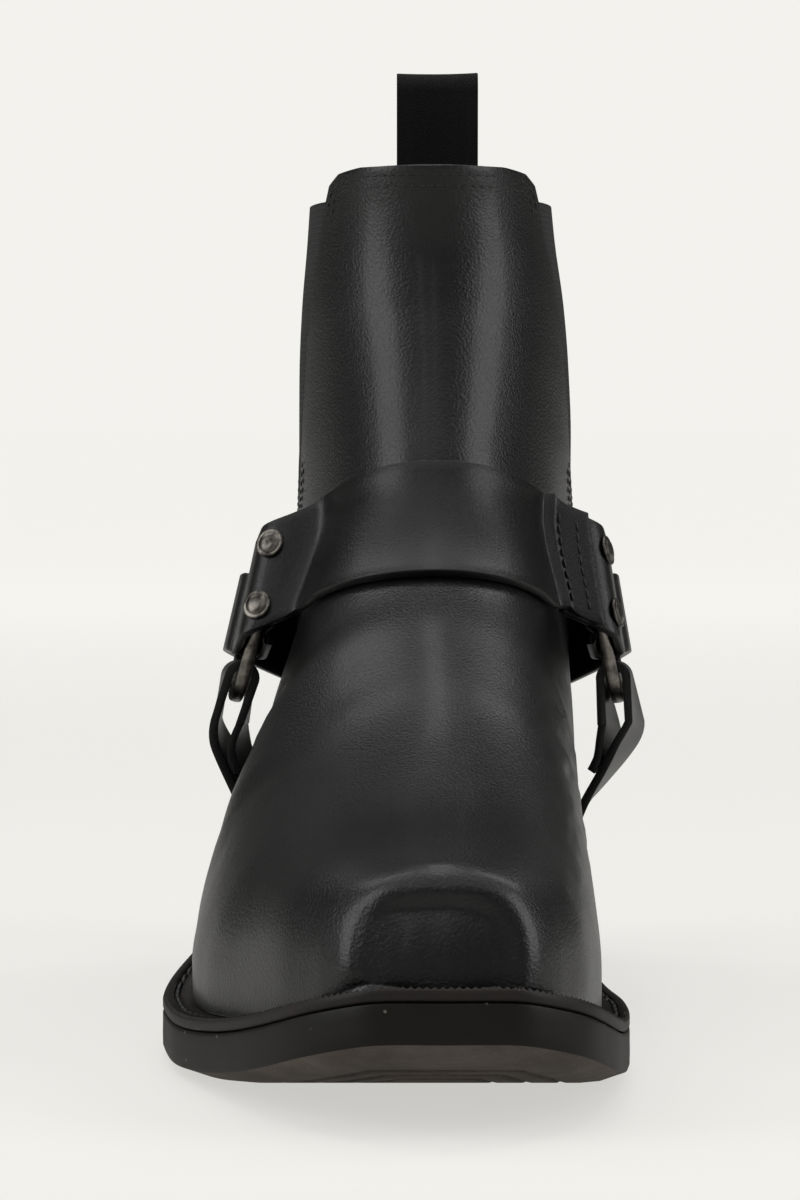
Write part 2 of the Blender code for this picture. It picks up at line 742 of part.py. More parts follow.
def prism(name, outline, inner, outer):
    """A block across the boot, from one x to another, with the outline (y, z)."""
    points = [(x, y, z) for x in (inner, outer) for y, z in outline]
    count = len(outline)
    faces = [list(range(count)), list(range(count, 2 * count))]
    for index in range(count):
        after = (index + 1) % count
        faces.append([index, after, count + after, count + index])
    block = solid(name, points, faces, None)
    block.hide_render = True
    block.display_type = "WIRE"
    return block


def boolean(thing, tool, operation):
    cut = thing.modifiers.new(tool.name, "BOOLEAN")
    cut.operation = operation
    cut.object = tool
    cut.solver = "EXACT"


def make_gore(side, upper, elastic):
    name = "medial" if side > 0 else "lateral"
    reach = (side * 0.1 * SHAFT_WIDTH, side * SHAFT_WIDTH)
    boolean(upper, prism("window_" + name, window_outline(0.0, True), *reach), "DIFFERENCE")
    steps = [step for step in section_steps() if step >= HEEL_BACK]
    back = -GORE_BACKSET - GORE_THICKNESS
    gore = clean_upper("gore_" + name, steps, round_steps(), -GORE_BACKSET, back, elastic)
    boolean(gore, prism("gore_shape_" + name, window_outline(SEAT_GAP, False), *reach), "INTERSECT")


# Straps


def sheet_solid(name, rows, thickness, made_of):
    """A closed strap. rows holds, for each line along the strap, its points and their outward normals."""
    inner = [[point for point, normal in row] for row in rows]
    outer = [[point + normal * thickness for point, normal in row] for row in rows]
    count, columns = len(rows), len(rows[0])
    sheet = count * columns
    points = [point for row in inner + outer for point in row]
    faces = []
    for row in range(count - 1):
        for column in range(columns - 1):
            a = row * columns + column
            faces.append([a, a + columns, a + columns + 1, a + 1])
            faces.append([sheet + a, sheet + a + 1, sheet + a + columns + 1, sheet + a + columns])
        for column in (0, columns - 1):
            a = row * columns + column
            faces.append([a, a + columns, sheet + a + columns, sheet + a])
    for row in (0, count - 1):
        for column in range(columns - 1):
            a = row * columns + column
            faces.append([a, a + 1, sheet + a + 1, sheet + a])
    return solid(name, points, faces, made_of)


def ring_frame(side):
    """Centre of a ring and its directions: back, up (both in its plane) and out."""
    lean = math.radians(MEDIAL_LEAN if side > 0 else LATERAL_LEAN)
    yaw = math.radians(RING_YAW)
    centre = Vector((MEDIAL_RING_X if side > 0 else LATERAL_RING_X, y_of(RING_STATION), RING_Z))
    back = Vector((side * math.sin(yaw), math.cos(yaw), 0))
    up = Vector((-side * math.sin(lean), 0, math.cos(lean)))
    up = (up - back * up.dot(back)).normalized()
    out = back.cross(up) if side > 0 else up.cross(back)
    return centre, back, up, out.normalized()


def ring_way(side, angle):
    """Unit direction from the ring's centre along a strap that leaves it at an angle, and its width's."""
    _, back, up, _ = ring_frame(side)
    turn = math.radians(angle)
    along = back * math.cos(turn) + up * math.sin(turn)
    across = back * math.sin(turn) - up * math.cos(turn)
    return along, across


def fold_room():
    """How far a strap's inner face lies from the ring's plane beside the fold."""
    return RING_WIRE + 2 * SEAT_GAP


def fold_point(side, angle, offset, reach, out_share=1.0):
    """Inner face of a strap's leg at a distance from its fold, on the outer (1) or inner (-1) side.
    The fold lies where the strap's width just fits inside the ring."""
    centre, _, _, out = ring_frame(side)
    along, across = ring_way(side, angle)
    widths = {INSTEP_ANGLE: INSTEP_END_WIDTH, SHANK_ANGLE: SHANK_WIDTH, HEEL_STRAP_ANGLE: HEEL_STRAP_WIDTH}
    width = widths[angle]
    depth = math.sqrt(RING_RADIUS ** 2 - (width / 2) ** 2) - FOLD_SLACK
    return centre + along * (depth + reach) + across * offset + out * fold_room() * out_share


def folded_end(side, angle, offset, run):
    """Points and normals of a strap that runs to its ring, folds round the wire and ends in a flap.
    run is its outer leg, from far to near, and the flap lies against the run's last part."""
    _, _, _, out = ring_frame(side)
    along, _ = ring_way(side, angle)
    path = list(run)
    middle = fold_point(side, angle, offset, 0.0, 0.0)
    for step in range(FOLD_STEPS + 1):
        turn = math.pi * step / FOLD_STEPS
        normal = out * math.cos(turn) - along * math.sin(turn)
        path.append((middle + normal * fold_room(), normal))
    path.append((fold_point(side, angle, offset, WIRE_CLEAR, -1.0), -out))
    for step in range(1, FLAP_STEPS + 1):
        point, normal = back_along(run, mix(0.003, FLAP_LENGTH - WIRE_CLEAR, step / FLAP_STEPS))
        path.append((point - normal * SEAT_GAP, -normal))
    return path


def back_along(run, distance):
    """The place on a path of points and normals at a distance before its end."""
    for (near, near_normal), (far, far_normal) in zip(run[::-1], run[-2::-1]):
        length = (far - near).length
        if length >= distance:
            share = distance / length
            return near.lerp(far, share), near_normal.lerp(far_normal, share).normalized()
        distance -= length
    return run[0]


def path_normals(points, across, outward):
    """Normals of a path, square to it and to the strap's width, on the side of outward."""
    normals = []
    for index in range(len(points)):
        before = points[max(index - 1, 0)]
        after = points[min(index + 1, len(points) - 1)]
        normals.append((after - before).cross(across).normalized())
    flip = -1 if normals[-1].dot(outward) < 0 else 1
    return [normal * flip for normal in normals]


def bridge(start, start_way, end, end_way, count, ease=BRIDGE_EASE):
    """Points of a smooth path between two places where its direction is known, without its ends."""
    length = (end - start).length * ease
    a, b = start + start_way * length, end - end_way * length
    return [bezier(start, a, b, end, step / count) for step in range(1, count)]


def plane_share(share, front, rear, low, high):
    """The section of the upper whose point at this share of the girth lies on the line from front to
    rear, seen from the side."""
    way = rear - front

    def side_of(at):
        point = upper_point(at, share)
        return (point.y - front.y) * way.z - (point.z - front.z) * way.y

    start = side_of(low) > 0
    for _ in range(30):
        middle = (low + high) / 2
        if (side_of(middle) > 0) == start:
            low = middle
        else:
            high = middle
    return low


def along_upper(shares, front, rear, low, high, gap):
    """Points and normals just off the upper, where it meets the line from front to rear."""
    path = []
    for share in shares:
        at = plane_share(share, front, rear, low, high)
        normal = upper_normal(at, share)
        path.append((upper_point(at, share) + normal * gap, normal))
    return path


def across_offsets(width):
    return [width * (step / STRAP_ROWS - 0.5) for step in range(STRAP_ROWS + 1)]


def depart_share(side, front, aim, end, along):
    """How far round the upper the strap stays on it: it leaves while still in front of its ring."""
    low, high = 0.05, INSTEP_DEPART
    for _ in range(20):
        share = (low + high) / 2
        at = plane_share(side * share, front, aim, 9.0, HEEL_BACK + 4.0)
        if (upper_point(at, side * share) - end).dot(along) > DEPART_ROOM:
            low = share
        else:
            high = share
    return low


def instep_run(side, offset):
    """The instep strap's line on one side: from the front over the upper, then free to the ring."""
    tangent = upper_point(INSTEP_MIDDLE + 2.5, 0.0) - upper_point(INSTEP_MIDDLE - 2.5, 0.0)
    front = upper_point(INSTEP_MIDDLE, 0.0) + tangent.normalized() * offset
    narrow = offset * INSTEP_END_WIDTH / INSTEP_WIDTH
    along, across = ring_way(side, INSTEP_ANGLE)
    end = fold_point(side, INSTEP_ANGLE, narrow, WIRE_CLEAR)
    aim = fold_point(side, INSTEP_ANGLE, narrow, 0.0) + Vector((0, 0, INSTEP_BOW))
    depart = depart_share(side, front, aim, end, along)
    shares = [side * max(depart * step / INSTEP_STEPS, 1e-6) for step in range(INSTEP_STEPS + 1)]
    path = along_upper(shares, front, aim, 9.0, HEEL_BACK + 4.0, STRAP_GAP)
    start, way = path[-1][0], (path[-1][0] - path[-2][0]).normalized()
    chain = [start] + bridge(start, way, end, -along, BRIDGE_STEPS) + [end]
    normals = path_normals(chain, across, ring_frame(side)[3])
    return path, list(zip(chain, normals))[1:]


def make_instep_strap(leather):
    """Folded round the lateral ring; its medial end is cut off square and lies on the ring's tab."""
    rows = []
    lift = STRAP_THICKNESS + SEAT_GAP
    for offset in across_offsets(INSTEP_WIDTH):
        narrow = offset * INSTEP_END_WIDTH / INSTEP_WIDTH
        over, free = instep_run(-1, offset)
        lateral = folded_end(-1, INSTEP_ANGLE, narrow, over + free)
        over, free = instep_run(1, offset)
        raised = []
        for index, (point, normal) in enumerate(free[:INSTEP_CUT]):
            raised.append((point + normal * lift * smooth((index + 1) / 2), normal))
        medial = over + raised
        rows.append(lateral[::-1] + medial[1:])
    return sheet_solid("instep_strap", rows, STRAP_THICKNESS, leather)


def make_ring_tab(leather):
    rows = []
    for offset in across_offsets(INSTEP_WIDTH):
        narrow = offset * INSTEP_END_WIDTH / INSTEP_WIDTH
        _, free = instep_run(1, offset)
        rows.append(folded_end(1, INSTEP_ANGLE, narrow, free[1:]))
    return sheet_solid("ring_tab_medial", rows, STRAP_THICKNESS, leather)


def make_shank_strap(side, leather):
    """From the ring down to the welt at the waist, where it is tucked in beside the upper."""
    rows = []
    _, _, _, out = ring_frame(side)
    along, across = ring_way(side, SHANK_ANGLE)
    bend = (out * SHANK_BEND - along).normalized()
    for offset in across_offsets(SHANK_WIDTH):
        low = []
        for share in (0.95, 0.89, 0.83):
            at = SHANK_FOOT - offset * SHANK_SPREAD * side + (0.95 - share) * SHANK_TURN
            normal = upper_normal(at, side * share)
            low.append((upper_point(at, side * share) + normal * SEAT_GAP, normal))
        start, way = low[-1][0], (low[-1][0] - low[-2][0]).normalized()
        end = fold_point(side, SHANK_ANGLE, offset * side, WIRE_CLEAR)
        chain = [start] + bridge(start, way, end, bend, SHANK_STEPS, SHANK_EASE) + [end]
        normals = path_normals(chain, across, out)
        run = low + list(zip(chain, normals))[1:]
        rows.append(folded_end(side, SHANK_ANGLE, offset * side, run))
    name = "medial" if side > 0 else "lateral"
    return sheet_solid("shank_strap_" + name, rows, STRAP_THICKNESS, leather)


def make_heel_strap(leather):
    """From ring to ring round the back of the heel."""
    rows = []
    for offset in across_offsets(HEEL_STRAP_WIDTH):
        halves = []
        for side in (-1, 1):
            along, across = ring_way(side, HEEL_STRAP_ANGLE)
            level = offset if across.z > 0 else -offset
            near = fold_point(side, HEEL_STRAP_ANGLE, level, 0.0)
            rear = Vector((0, y_of(SOLE_LENGTH), HEEL_STRAP_Z + offset))
            steps = range(HEEL_STEPS_ROUND + 1)
            shares = [side * mix(1.0, HEEL_DEPART, step / HEEL_STEPS_ROUND) for step in steps]
            path = along_upper(shares, rear, near, 14.0, HEEL_BACK + 4.0, SEAT_GAP)
            start, way = path[-1][0], (path[-1][0] - path[-2][0]).normalized()
            end = fold_point(side, HEEL_STRAP_ANGLE, level, WIRE_CLEAR)
            chain = [start] + bridge(start, way, end, -along, BRIDGE_STEPS) + [end]
            normals = path_normals(chain, across, ring_frame(side)[3])
            free = list(zip(chain, normals))[1:]
            halves.append(folded_end(side, HEEL_STRAP_ANGLE, level, path + free))
        lateral, medial = halves
        middle = (lateral[0][0] + medial[0][0]) / 2
        back = (Vector((0, middle.y, middle.z)), Vector((0, 1, 0)))
        rows.append(lateral[:0:-1] + [back] + medial[1:])
    return sheet_solid("heel_strap", rows, STRAP_THICKNESS, leather)


def make_ring(side, metal):
    name = "medial" if side > 0 else "lateral"
    centre, back, up, out = ring_frame(side)
    points, faces = [], []
    for step in range(RING_STEPS):
        turn = 2 * math.pi * step / RING_STEPS
        spoke = back * math.cos(turn) + up * math.sin(turn)
        after = (step + 1) % RING_STEPS
        for corner in range(WIRE_STEPS):
            roll = 2 * math.pi * corner / WIRE_STEPS
            reach = RING_RADIUS + RING_WIRE * math.cos(roll)
            points.append(centre + spoke * reach + out * RING_WIRE * math.sin(roll))
            beside = (corner + 1) % WIRE_STEPS
            here, there = step * WIRE_STEPS, after * WIRE_STEPS
            faces.append([here + corner, here + beside, there + beside, there + corner])
    return solid("ring_" + name, points, faces, metal)


def make_rivet(name, seat, normal, metal):
    """A domed head on the face at seat."""
    side = normal.orthogonal().normalized()
    other = normal.cross(side)
    points, faces = [], []
    rings = ((1.0, 0.0), (1.0, 0.4), (0.75, 0.85), (0.35, 1.0))
    for spread, rise in rings:
        for step in range(RIVET_STEPS):
            turn = 2 * math.pi * step / RIVET_STEPS
            spoke = side * math.cos(turn) + other * math.sin(turn)
            reach = RIVET_RADIUS * spread
            points.append(seat + normal * RIVET_HEIGHT * rise + spoke * reach)
    for ring in range(len(rings) - 1):
        for step in range(RIVET_STEPS):
            a, b = ring * RIVET_STEPS + step, ring * RIVET_STEPS + (step + 1) % RIVET_STEPS
            faces.append([a, b, b + RIVET_STEPS, a + RIVET_STEPS])
    faces.append(list(range(RIVET_STEPS))[::-1])
    faces.append(list(range((len(rings) - 1) * RIVET_STEPS, len(rings) * RIVET_STEPS)))
    return solid(name, points, faces, metal)


def make_rivets(metal):
    """Heads on the outer faces of the folded ends, just before the wire."""
    for side, name, back in ((-1, "lateral", LATERAL_RIVET_BACK), (1, "medial", MEDIAL_RIVET_BACK)):
        _, free_low = instep_run(side, -RIVET_SPREAD)
        _, free_high = instep_run(side, RIVET_SPREAD)
        for level, free in (("lower", free_low), ("upper", free_high)):
            point, normal = back_along(free, back)
            seat = point + normal * (STRAP_THICKNESS + RIVET_LIFT)
            make_rivet(f"rivet_{name}_{level}", seat, normal, metal)


def back_wall(level, x):
    """A place on the upper near the back seam at a height and x, its normal along the boot, and how
    thick the leather is that way."""
    low, high = float(HEEL_BACK), float(COLLAR)
    for _ in range(24):
        at = (low + high) / 2
        if upper_point(at, 1.0).z < level:
            low = at
        else:
            high = at
    side = 1 if x > 0 else -1
    near, far = 0.6, 1.0
    for _ in range(24):
        share = (near + far) / 2
        if upper_point(at, side * share).x * side > abs(x):
            near = share
        else:
            far = share
    normal = upper_normal(at, side * share)
    straight = Vector((0, normal.y, normal.z)).normalized()
    return upper_point(at, side * share), straight, LEATHER / straight.dot(normal)


def make_pull_loop(webbing):
    """A band sewn inside and outside the back of the collar, with a finger's gap above it."""
    top = upper_point(COLLAR, 1.0).z
    rows = []
    for step in range(LOOP_ROWS + 1):
        x = LOOP_SHIFT + LOOP_WIDTH * (step / LOOP_ROWS - 0.5)
        inside, outside = [], []
        for drop in (LOOP_TAIL, LOOP_TAIL * 0.6, LOOP_TAIL * 0.25, 0.0):
            point, normal, wall = back_wall(top - drop, x)
            inside.append((point - normal * (wall + 2 * STRAP_GAP), -normal))
            outside.append((point + normal * SEAT_GAP, normal))
        middle = (inside[-1][0] + outside[-1][0]) / 2
        reach = LOOP_GAPE / 2
        arch = []
        for turn_step in range(LOOP_STEPS + 1):
            turn = math.pi * turn_step / LOOP_STEPS
            normal = Vector((0, -math.cos(turn), math.sin(turn)))
            centre = Vector((x, middle.y, top + LOOP_RISE - LOOP_THICKNESS - reach))
            arch.append((centre + normal * reach, normal))
        rows.append(inside + arch + outside[::-1])
    return sheet_solid("pull_loop", rows, LOOP_THICKNESS, webbing)


def main():
    clear_scene()
    rubber = material("sole_rubber", (0.035, 0.030, 0.027), 0.55)
    stack = material("heel_stack", (0.030, 0.025, 0.022), 0.5)
    leather = material("black_leather", (0.012, 0.012, 0.013), 0.35)
    board = material("insole_leather", (0.25, 0.2, 0.15), 0.7)
    make_outsole(rubber)
    make_welt(rubber)
    make_insole(board)
    split = LIFT_THICKNESS
    make_heel_piece("heel_lift", 0.0, split, rubber)
    make_heel_piece("heel", split + SEAT_GAP, HEEL_HEIGHT - SEAT_GAP, stack)
    elastic = material("elastic_webbing", (0.010, 0.010, 0.011), 0.9)
    upper = make_upper(leather)
    make_gore(-1, upper, elastic)
    make_gore(1, upper, elastic)
    metal = material("antique_nickel", (0.35, 0.34, 0.33), 0.35, 1.0)
    make_instep_strap(leather)
    make_ring_tab(leather)
    make_heel_strap(leather)
    for side in (-1, 1):
        make_ring(side, metal)
        make_shank_strap(side, leather)
    make_rivets(metal)
    make_pull_loop(elastic)


main()
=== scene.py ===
# Harness boot, right foot, with toe towards -Y and the inner side towards +X. Lengths are metres.
import math

import random

import bmesh
import bpy
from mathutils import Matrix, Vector, noise
from mathutils.bvhtree import BVHTree


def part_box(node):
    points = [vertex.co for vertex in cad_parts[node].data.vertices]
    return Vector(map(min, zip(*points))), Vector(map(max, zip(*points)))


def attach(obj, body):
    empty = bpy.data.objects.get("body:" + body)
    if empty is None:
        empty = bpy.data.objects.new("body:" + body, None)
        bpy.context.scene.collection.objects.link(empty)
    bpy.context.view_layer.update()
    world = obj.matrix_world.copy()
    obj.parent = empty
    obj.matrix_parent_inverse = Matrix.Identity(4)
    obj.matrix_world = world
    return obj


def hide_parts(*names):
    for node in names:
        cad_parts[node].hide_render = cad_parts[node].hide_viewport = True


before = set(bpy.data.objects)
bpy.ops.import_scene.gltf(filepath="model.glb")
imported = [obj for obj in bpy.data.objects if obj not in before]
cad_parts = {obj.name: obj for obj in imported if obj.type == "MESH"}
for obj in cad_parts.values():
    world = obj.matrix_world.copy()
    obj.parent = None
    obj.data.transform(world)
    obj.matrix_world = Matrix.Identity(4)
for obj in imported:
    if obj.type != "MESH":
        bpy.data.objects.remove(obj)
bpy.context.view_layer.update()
random.seed(7)
millimetre = 0.001

# Sizes in metres, angles in degrees. A strap's angle is the way it runs from its ring, seen from the side:
# 0 straight back, 90 straight up, 180 straight forwards.
# spring, flat and seat are shares of the length where the toe lifts, the flat ends and the heel seat starts
soleSize = dict(
    length=0.305, width=0.110, toeSpring=0.0186, rimRise=0.002, rimBevel=0.009, thickness=0.0115,
    springEnd=0.328, flatEnd=0.387, seatStart=0.760, springCurve=2.1, rimFadeStart=0.42,
    rimFadeEnd=0.62, edgeSplit=5,
)
# the block under the heel seat
heelSize = dict(
    width=0.068, length=0.067, height=0.0267, taper=0.0025, breastHollow=0.004,
)
# the strip that the upper is sewn to, and how far it stands out
weltSize = dict(thickness=0.0028, ledge=0.0066)
# room between the insole and the upper
insoleSize = dict(play=0.0012)
# nested grooves under the ball of the foot
treadSize = dict(
    grooveWidth=0.0026, grooveDepth=0.0016, pitch=0.0075, edge=0.0125, front=0.016, back=0.128,
    rings=3, steps=8,
)
# heights above the floor, widths and the thickness of the leather
upperSize = dict(
    toeHeight=0.0580, instepHeight=0.138, collarHeight=0.2148, ankleWidth=0.0730, shaftWidth=0.0640,
    shaftDepth=0.1195, leather=0.0022, collarDip=0.0075, collarBackRise=0.0015, collarFront=0.5590,
    lowRound=0.60,
)
# the elastic windows
goreSize = dict(
    topWidth=0.070, panelCorner=0.016, footWidth=0.030, height=0.088, thickness=0.0014,
    centre=0.515, arcSteps=24, sunk=0.0006,
)
# what every strap of the harness shares: its thickness, its fold round a ring and its free stretch
strapSize = dict(
    thickness=0.0022, rows=12, foldSlack=0.0026, foldSteps=14, flapLength=0.020, flapSteps=8,
    wireClear=0.0114, bridgeSteps=16, bridgeEase=0.36, departRoom=0.0075,
    easePasses=10,
)
# yaw turns a ring's front towards the boot, lean swings its foot outwards
ringSize = dict(
    radius=0.0217, wire=0.0017, station=0.200, z=0.101, yaw=5.0, lateralX=-0.0466, medialX=0.0438,
    lateralLean=13.5, medialLean=10.0, steps=96, wireSteps=16,
)
# the wide strap over the instep
instepSize = dict(
    width=0.0340, endWidth=0.0300, angle=160.0, middle=15.0, bow=0.007, depart=0.40, steps=24,
    cut=11,
)
# the straps from the rings down to the welt
shankSize = dict(
    width=0.0190, angle=-93.0, foot=12.6, ease=0.24, bend=0.30, spread=34.0, turn=2.4, steps=18,
    flap=0.027, twistMedial=0.27, twistLateral=0.24, twistFoot=0.040,
)
# the strap round the back of the heel
heelStrapSize = dict(width=0.0210, angle=-4.0, z=0.080, depart=0.70, steps=24)
# places of the heads on the folded ends
rivetSize = dict(
    radius=0.0038, height=0.0011, spread=0.0095, lateralBack=0.0040, medialBack=0.0004,
)
# the pull loop at the back of the collar
loopSize = dict(
    width=0.0226, thickness=0.0016, rise=0.0318, tail=0.026, gape=0.0072, shift=0.0014, steps=20,
    rows=8,
)
# space left between pieces that touch
gaps = dict(seat=0.0003, strap=0.0005)

# Stations round the sole edge, from toe to heel. along: share of the sole's length. medial and lateral:
# share of the width. heel: how far the row follows the heel's width instead of the ball's. ledge: share
# of the welt's ledge that shows there.
soleRows = (
    # along, medial, lateral, heel, ledge
    (0.0000, 0.000, 0.000, 0.0, 0.93),
    (0.0010, 0.147, 0.128, 0.0, 0.93),
    (0.0130, 0.205, 0.190, 0.0, 0.92),
    (0.0430, 0.280, 0.275, 0.0, 0.92),
    (0.0980, 0.335, 0.362, 0.0, 0.95),
    (0.1900, 0.376, 0.468, 0.0, 0.95),
    (0.2750, 0.399, 0.550, 0.0, 0.95),
    (0.3380, 0.402, 0.583, 0.0, 0.97),
    (0.3840, 0.388, 0.596, 0.0, 1.00),
    (0.4430, 0.358, 0.588, 0.0, 0.96),
    (0.5180, 0.317, 0.528, 0.0, 0.85),
    (0.6060, 0.322, 0.485, 0.3, 0.70),
    (0.6950, 0.371, 0.464, 0.7, 0.52),
    (0.7800, 0.478, 0.508, 1.0, 0.42),
    (0.8590, 0.494, 0.500, 1.0, 0.40),
    (0.9310, 0.444, 0.447, 1.0, 0.40),
    (0.9810, 0.285, 0.285, 1.0, 0.40),
    (1.0000, 0.000, 0.000, 1.0, 0.40),
)

# Sections of the foot, from toe to the back of the heel. edge: the row of soleRows where both ends
# of the section stand. top: the share of the sole's length where its crest lies, and crest: its height.
# lateral and medial: the widest half breadths. belly: how far up the section is widest. wall: how far
# its side stays upright. crown: how far its top stays flat. low: share of the girth below the belly.
toeSections = (
    # edge, top, crest (of toe height), lateral, medial (of sole width), belly, walls, crowns, low
    (0.60, 0.0245, 0.785, 0.098, 0.097, 0.30, 0.60, 0.60, 0.66, 0.66, 0.22),
    (1.35, 0.0330, 0.915, 0.152, 0.152, 0.28, 0.62, 0.62, 0.64, 0.64, 0.22),
    (2.00, 0.0450, 0.975, 0.182, 0.181, 0.26, 0.64, 0.64, 0.64, 0.64, 0.22),
    (3.00, 0.0680, 1.005, 0.235, 0.229, 0.26, 0.64, 0.64, 0.68, 0.68, 0.22),
    (4.00, 0.1080, 1.047, 0.314, 0.284, 0.24, 0.60, 0.62, 0.74, 0.72, 0.22),
)
vampSections = (
    # edge, top, crest (of instep height), lateral, medial (of sole width), belly, walls, crowns, low
    (5.00, 0.1870, 0.480, 0.410, 0.325, 0.18, 0.45, 0.60, 0.72, 0.72, 0.20),
    (6.00, 0.2560, 0.540, 0.492, 0.337, 0.14, 0.32, 0.60, 0.67, 0.72, 0.19),
    (7.00, 0.3080, 0.598, 0.524, 0.340, 0.12, 0.26, 0.60, 0.62, 0.72, 0.18),
    (8.00, 0.3480, 0.656, 0.532, 0.338, 0.11, 0.25, 0.60, 0.59, 0.72, 0.18),
    (9.00, 0.3840, 0.707, 0.530, 0.336, 0.11, 0.30, 0.62, 0.61, 0.73, 0.18),
    (10.0, 0.4160, 0.754, 0.502, 0.332, 0.13, 0.38, 0.62, 0.65, 0.74, 0.20),
)
heelSections = (
    # edge, top, crest (of instep height), lateral, medial (of ankle width), belly, walls, crowns, low
    (11.0, 0.4460, 0.794, 0.650, 0.490, 0.17, 0.46, 0.62, 0.68, 0.75, 0.24),
    (12.0, 0.4690, 0.830, 0.605, 0.494, 0.22, 0.53, 0.62, 0.70, 0.75, 0.28),
    (13.0, 0.4870, 0.870, 0.568, 0.498, 0.26, 0.58, 0.62, 0.70, 0.74, 0.33),
    (14.0, 0.5000, 0.910, 0.542, 0.500, 0.29, 0.60, 0.62, 0.70, 0.72, 0.37),
    (15.0, 0.5085, 0.943, 0.526, 0.500, 0.32, 0.60, 0.62, 0.69, 0.70, 0.41),
    (16.0, 0.5150, 0.972, 0.516, 0.500, 0.34, 0.60, 0.62, 0.67, 0.69, 0.44),
    (17.0, 0.5200, 1.000, 0.511, 0.500, 0.36, 0.60, 0.61, 0.66, 0.68, 0.46),
)
# Loops of the shaft, from the top of the heel to the collar. rise: share of the way from the instep to
# the collar at the front, and back: the same at the back seam. front and rear: offsets of the two
# lines from the collar, as a share of the shaft's depth. taper: how far the loop has the shaft's width.
shaftSections = (
    # rise, back, front, rear, taper, lateral, medial, belly, walls, crowns, low
    (0.070, 0.072, -0.084, 0.130, 0.0, 0.507, 0.502, 0.38, 0.60, 0.61, 0.65, 0.67, 0.47),
    (0.180, 0.190, -0.058, 0.138, 0.0, 0.505, 0.507, 0.41, 0.59, 0.60, 0.64, 0.65, 0.48),
    (0.310, 0.315, -0.029, 0.113, 0.0, 0.503, 0.512, 0.44, 0.58, 0.59, 0.63, 0.64, 0.49),
    (0.440, 0.445, -0.004, 0.075, 0.0, 0.502, 0.512, 0.46, 0.57, 0.58, 0.62, 0.63, 0.50),
    (0.580, 0.575, 0.017, 0.042, 0.0, 0.500, 0.502, 0.48, 0.57, 0.57, 0.62, 0.62, 0.50),
    (0.720, 0.712, 0.025, 0.017, 0.3, 0.508, 0.500, 0.50, 0.56, 0.56, 0.61, 0.61, 0.50),
    (0.865, 0.855, 0.017, 0.004, 0.7, 0.513, 0.490, 0.50, 0.56, 0.56, 0.60, 0.60, 0.50),
    (1.000, 1.000, 0.000, 0.000, 1.0, 0.516, 0.484, 0.50, 0.56, 0.56, 0.60, 0.60, 0.50),
)


def slopes(values):
    # Tangents at the rows of a column that add no bumps between them.
    steps = [b - a for a, b in zip(values, values[1:])]
    inner = [0.0 if a * b <= 0 else 2 * a * b / (a + b) for a, b in zip(steps, steps[1:])]
    return [steps[0]] + inner + [steps[-1]]


def hermite(a, b, slopeA, slopeB, t):
    return (
        a * (1 + 2 * t) * (1 - t) ** 2
        + b * t * t * (3 - 2 * t)
        + slopeA * t * (1 - t) ** 2
        - slopeB * t * t * (1 - t)
    )


def smooth(t):
    t = min(1.0, max(0.0, t))
    return t * t * (3 - 2 * t)


def mix(a, b, t):
    return a + (b - a) * t


# Heights of the sole

heelCentre = soleSize["length"] - 0.037


def yOf(station):
    # World y of a distance behind the toe tip.
    return station - heelCentre


def treadHeight(station):
    # Underside of the outsole: toe spring, flat ball, waist and heel seat.
    along = station / soleSize["length"]
    if along < soleSize["springEnd"]:
        return (
            soleSize["toeSpring"]
            * (1 - max(along, 0.0) / soleSize["springEnd"]) ** soleSize["springCurve"]
        )
    return heelSize["height"] * smooth(
        (along - soleSize["flatEnd"]) / (soleSize["seatStart"] - soleSize["flatEnd"])
    )


def rimShare(station):
    # The bevelled rim runs round the forefoot and fades out at the waist.
    return 1 - smooth(
        (station / soleSize["length"] - soleSize["rimFadeStart"])
        / (soleSize["rimFadeEnd"] - soleSize["rimFadeStart"])
    )


def rimHeight(station):
    return treadHeight(station) + soleSize["rimRise"] * rimShare(station)


def weltTop(station):
    return treadHeight(station) + soleSize["thickness"] + weltSize["thickness"]


# The edge of the sole and lines set in from it

lastRow = len(soleRows) - 1


def edgeRows(side, inset, ledge, rim=0.0):
    # Points (x, station) of one side, set in by a length and shares of the welt's ledge and rim.
    rows = []
    for along, medial, lateral, heel, show in soleRows:
        width = mix(soleSize["width"], heelSize["width"], heel)
        share = medial if side > 0 else lateral
        station = along * soleSize["length"]
        depth = inset + ledge * show * weltSize["ledge"] + rim * rimShare(station)
        rows.append((side * share * width, station, depth))
    moved = []
    for index, (x, station, depth) in enumerate(rows):
        before = rows[index - 1] if index else (-rows[1][0], rows[1][1], 0)
        after = rows[index + 1] if index < lastRow else (-rows[-2][0], rows[-2][1], 0)
        along = Vector((after[0] - before[0], after[1] - before[1])).normalized()
        inward = Vector((-along.y, along.x)) * side
        moved.append((x + inward.x * depth, station + inward.y * depth))
    return moved


def edgePoint(side, row, inset=0.0, ledge=0.0, rim=0.0):
    # Point (x, station) of the sole's edge at a row number, whole or between two rows.
    rows = edgeRows(side, inset, ledge, rim)
    mirrorFirst = (-rows[1][0], rows[1][1])
    mirrorLast = (-rows[-2][0], rows[-2][1])
    ring = [mirrorFirst] + rows + [mirrorLast]
    row = min(max(row, 0.0), float(lastRow))
    index = min(int(row), lastRow - 1)
    t = row - index
    p0, p1, p2, p3 = (Vector(point) for point in ring[index : index + 4])
    return catmull(p0, p1, p2, p3, t)


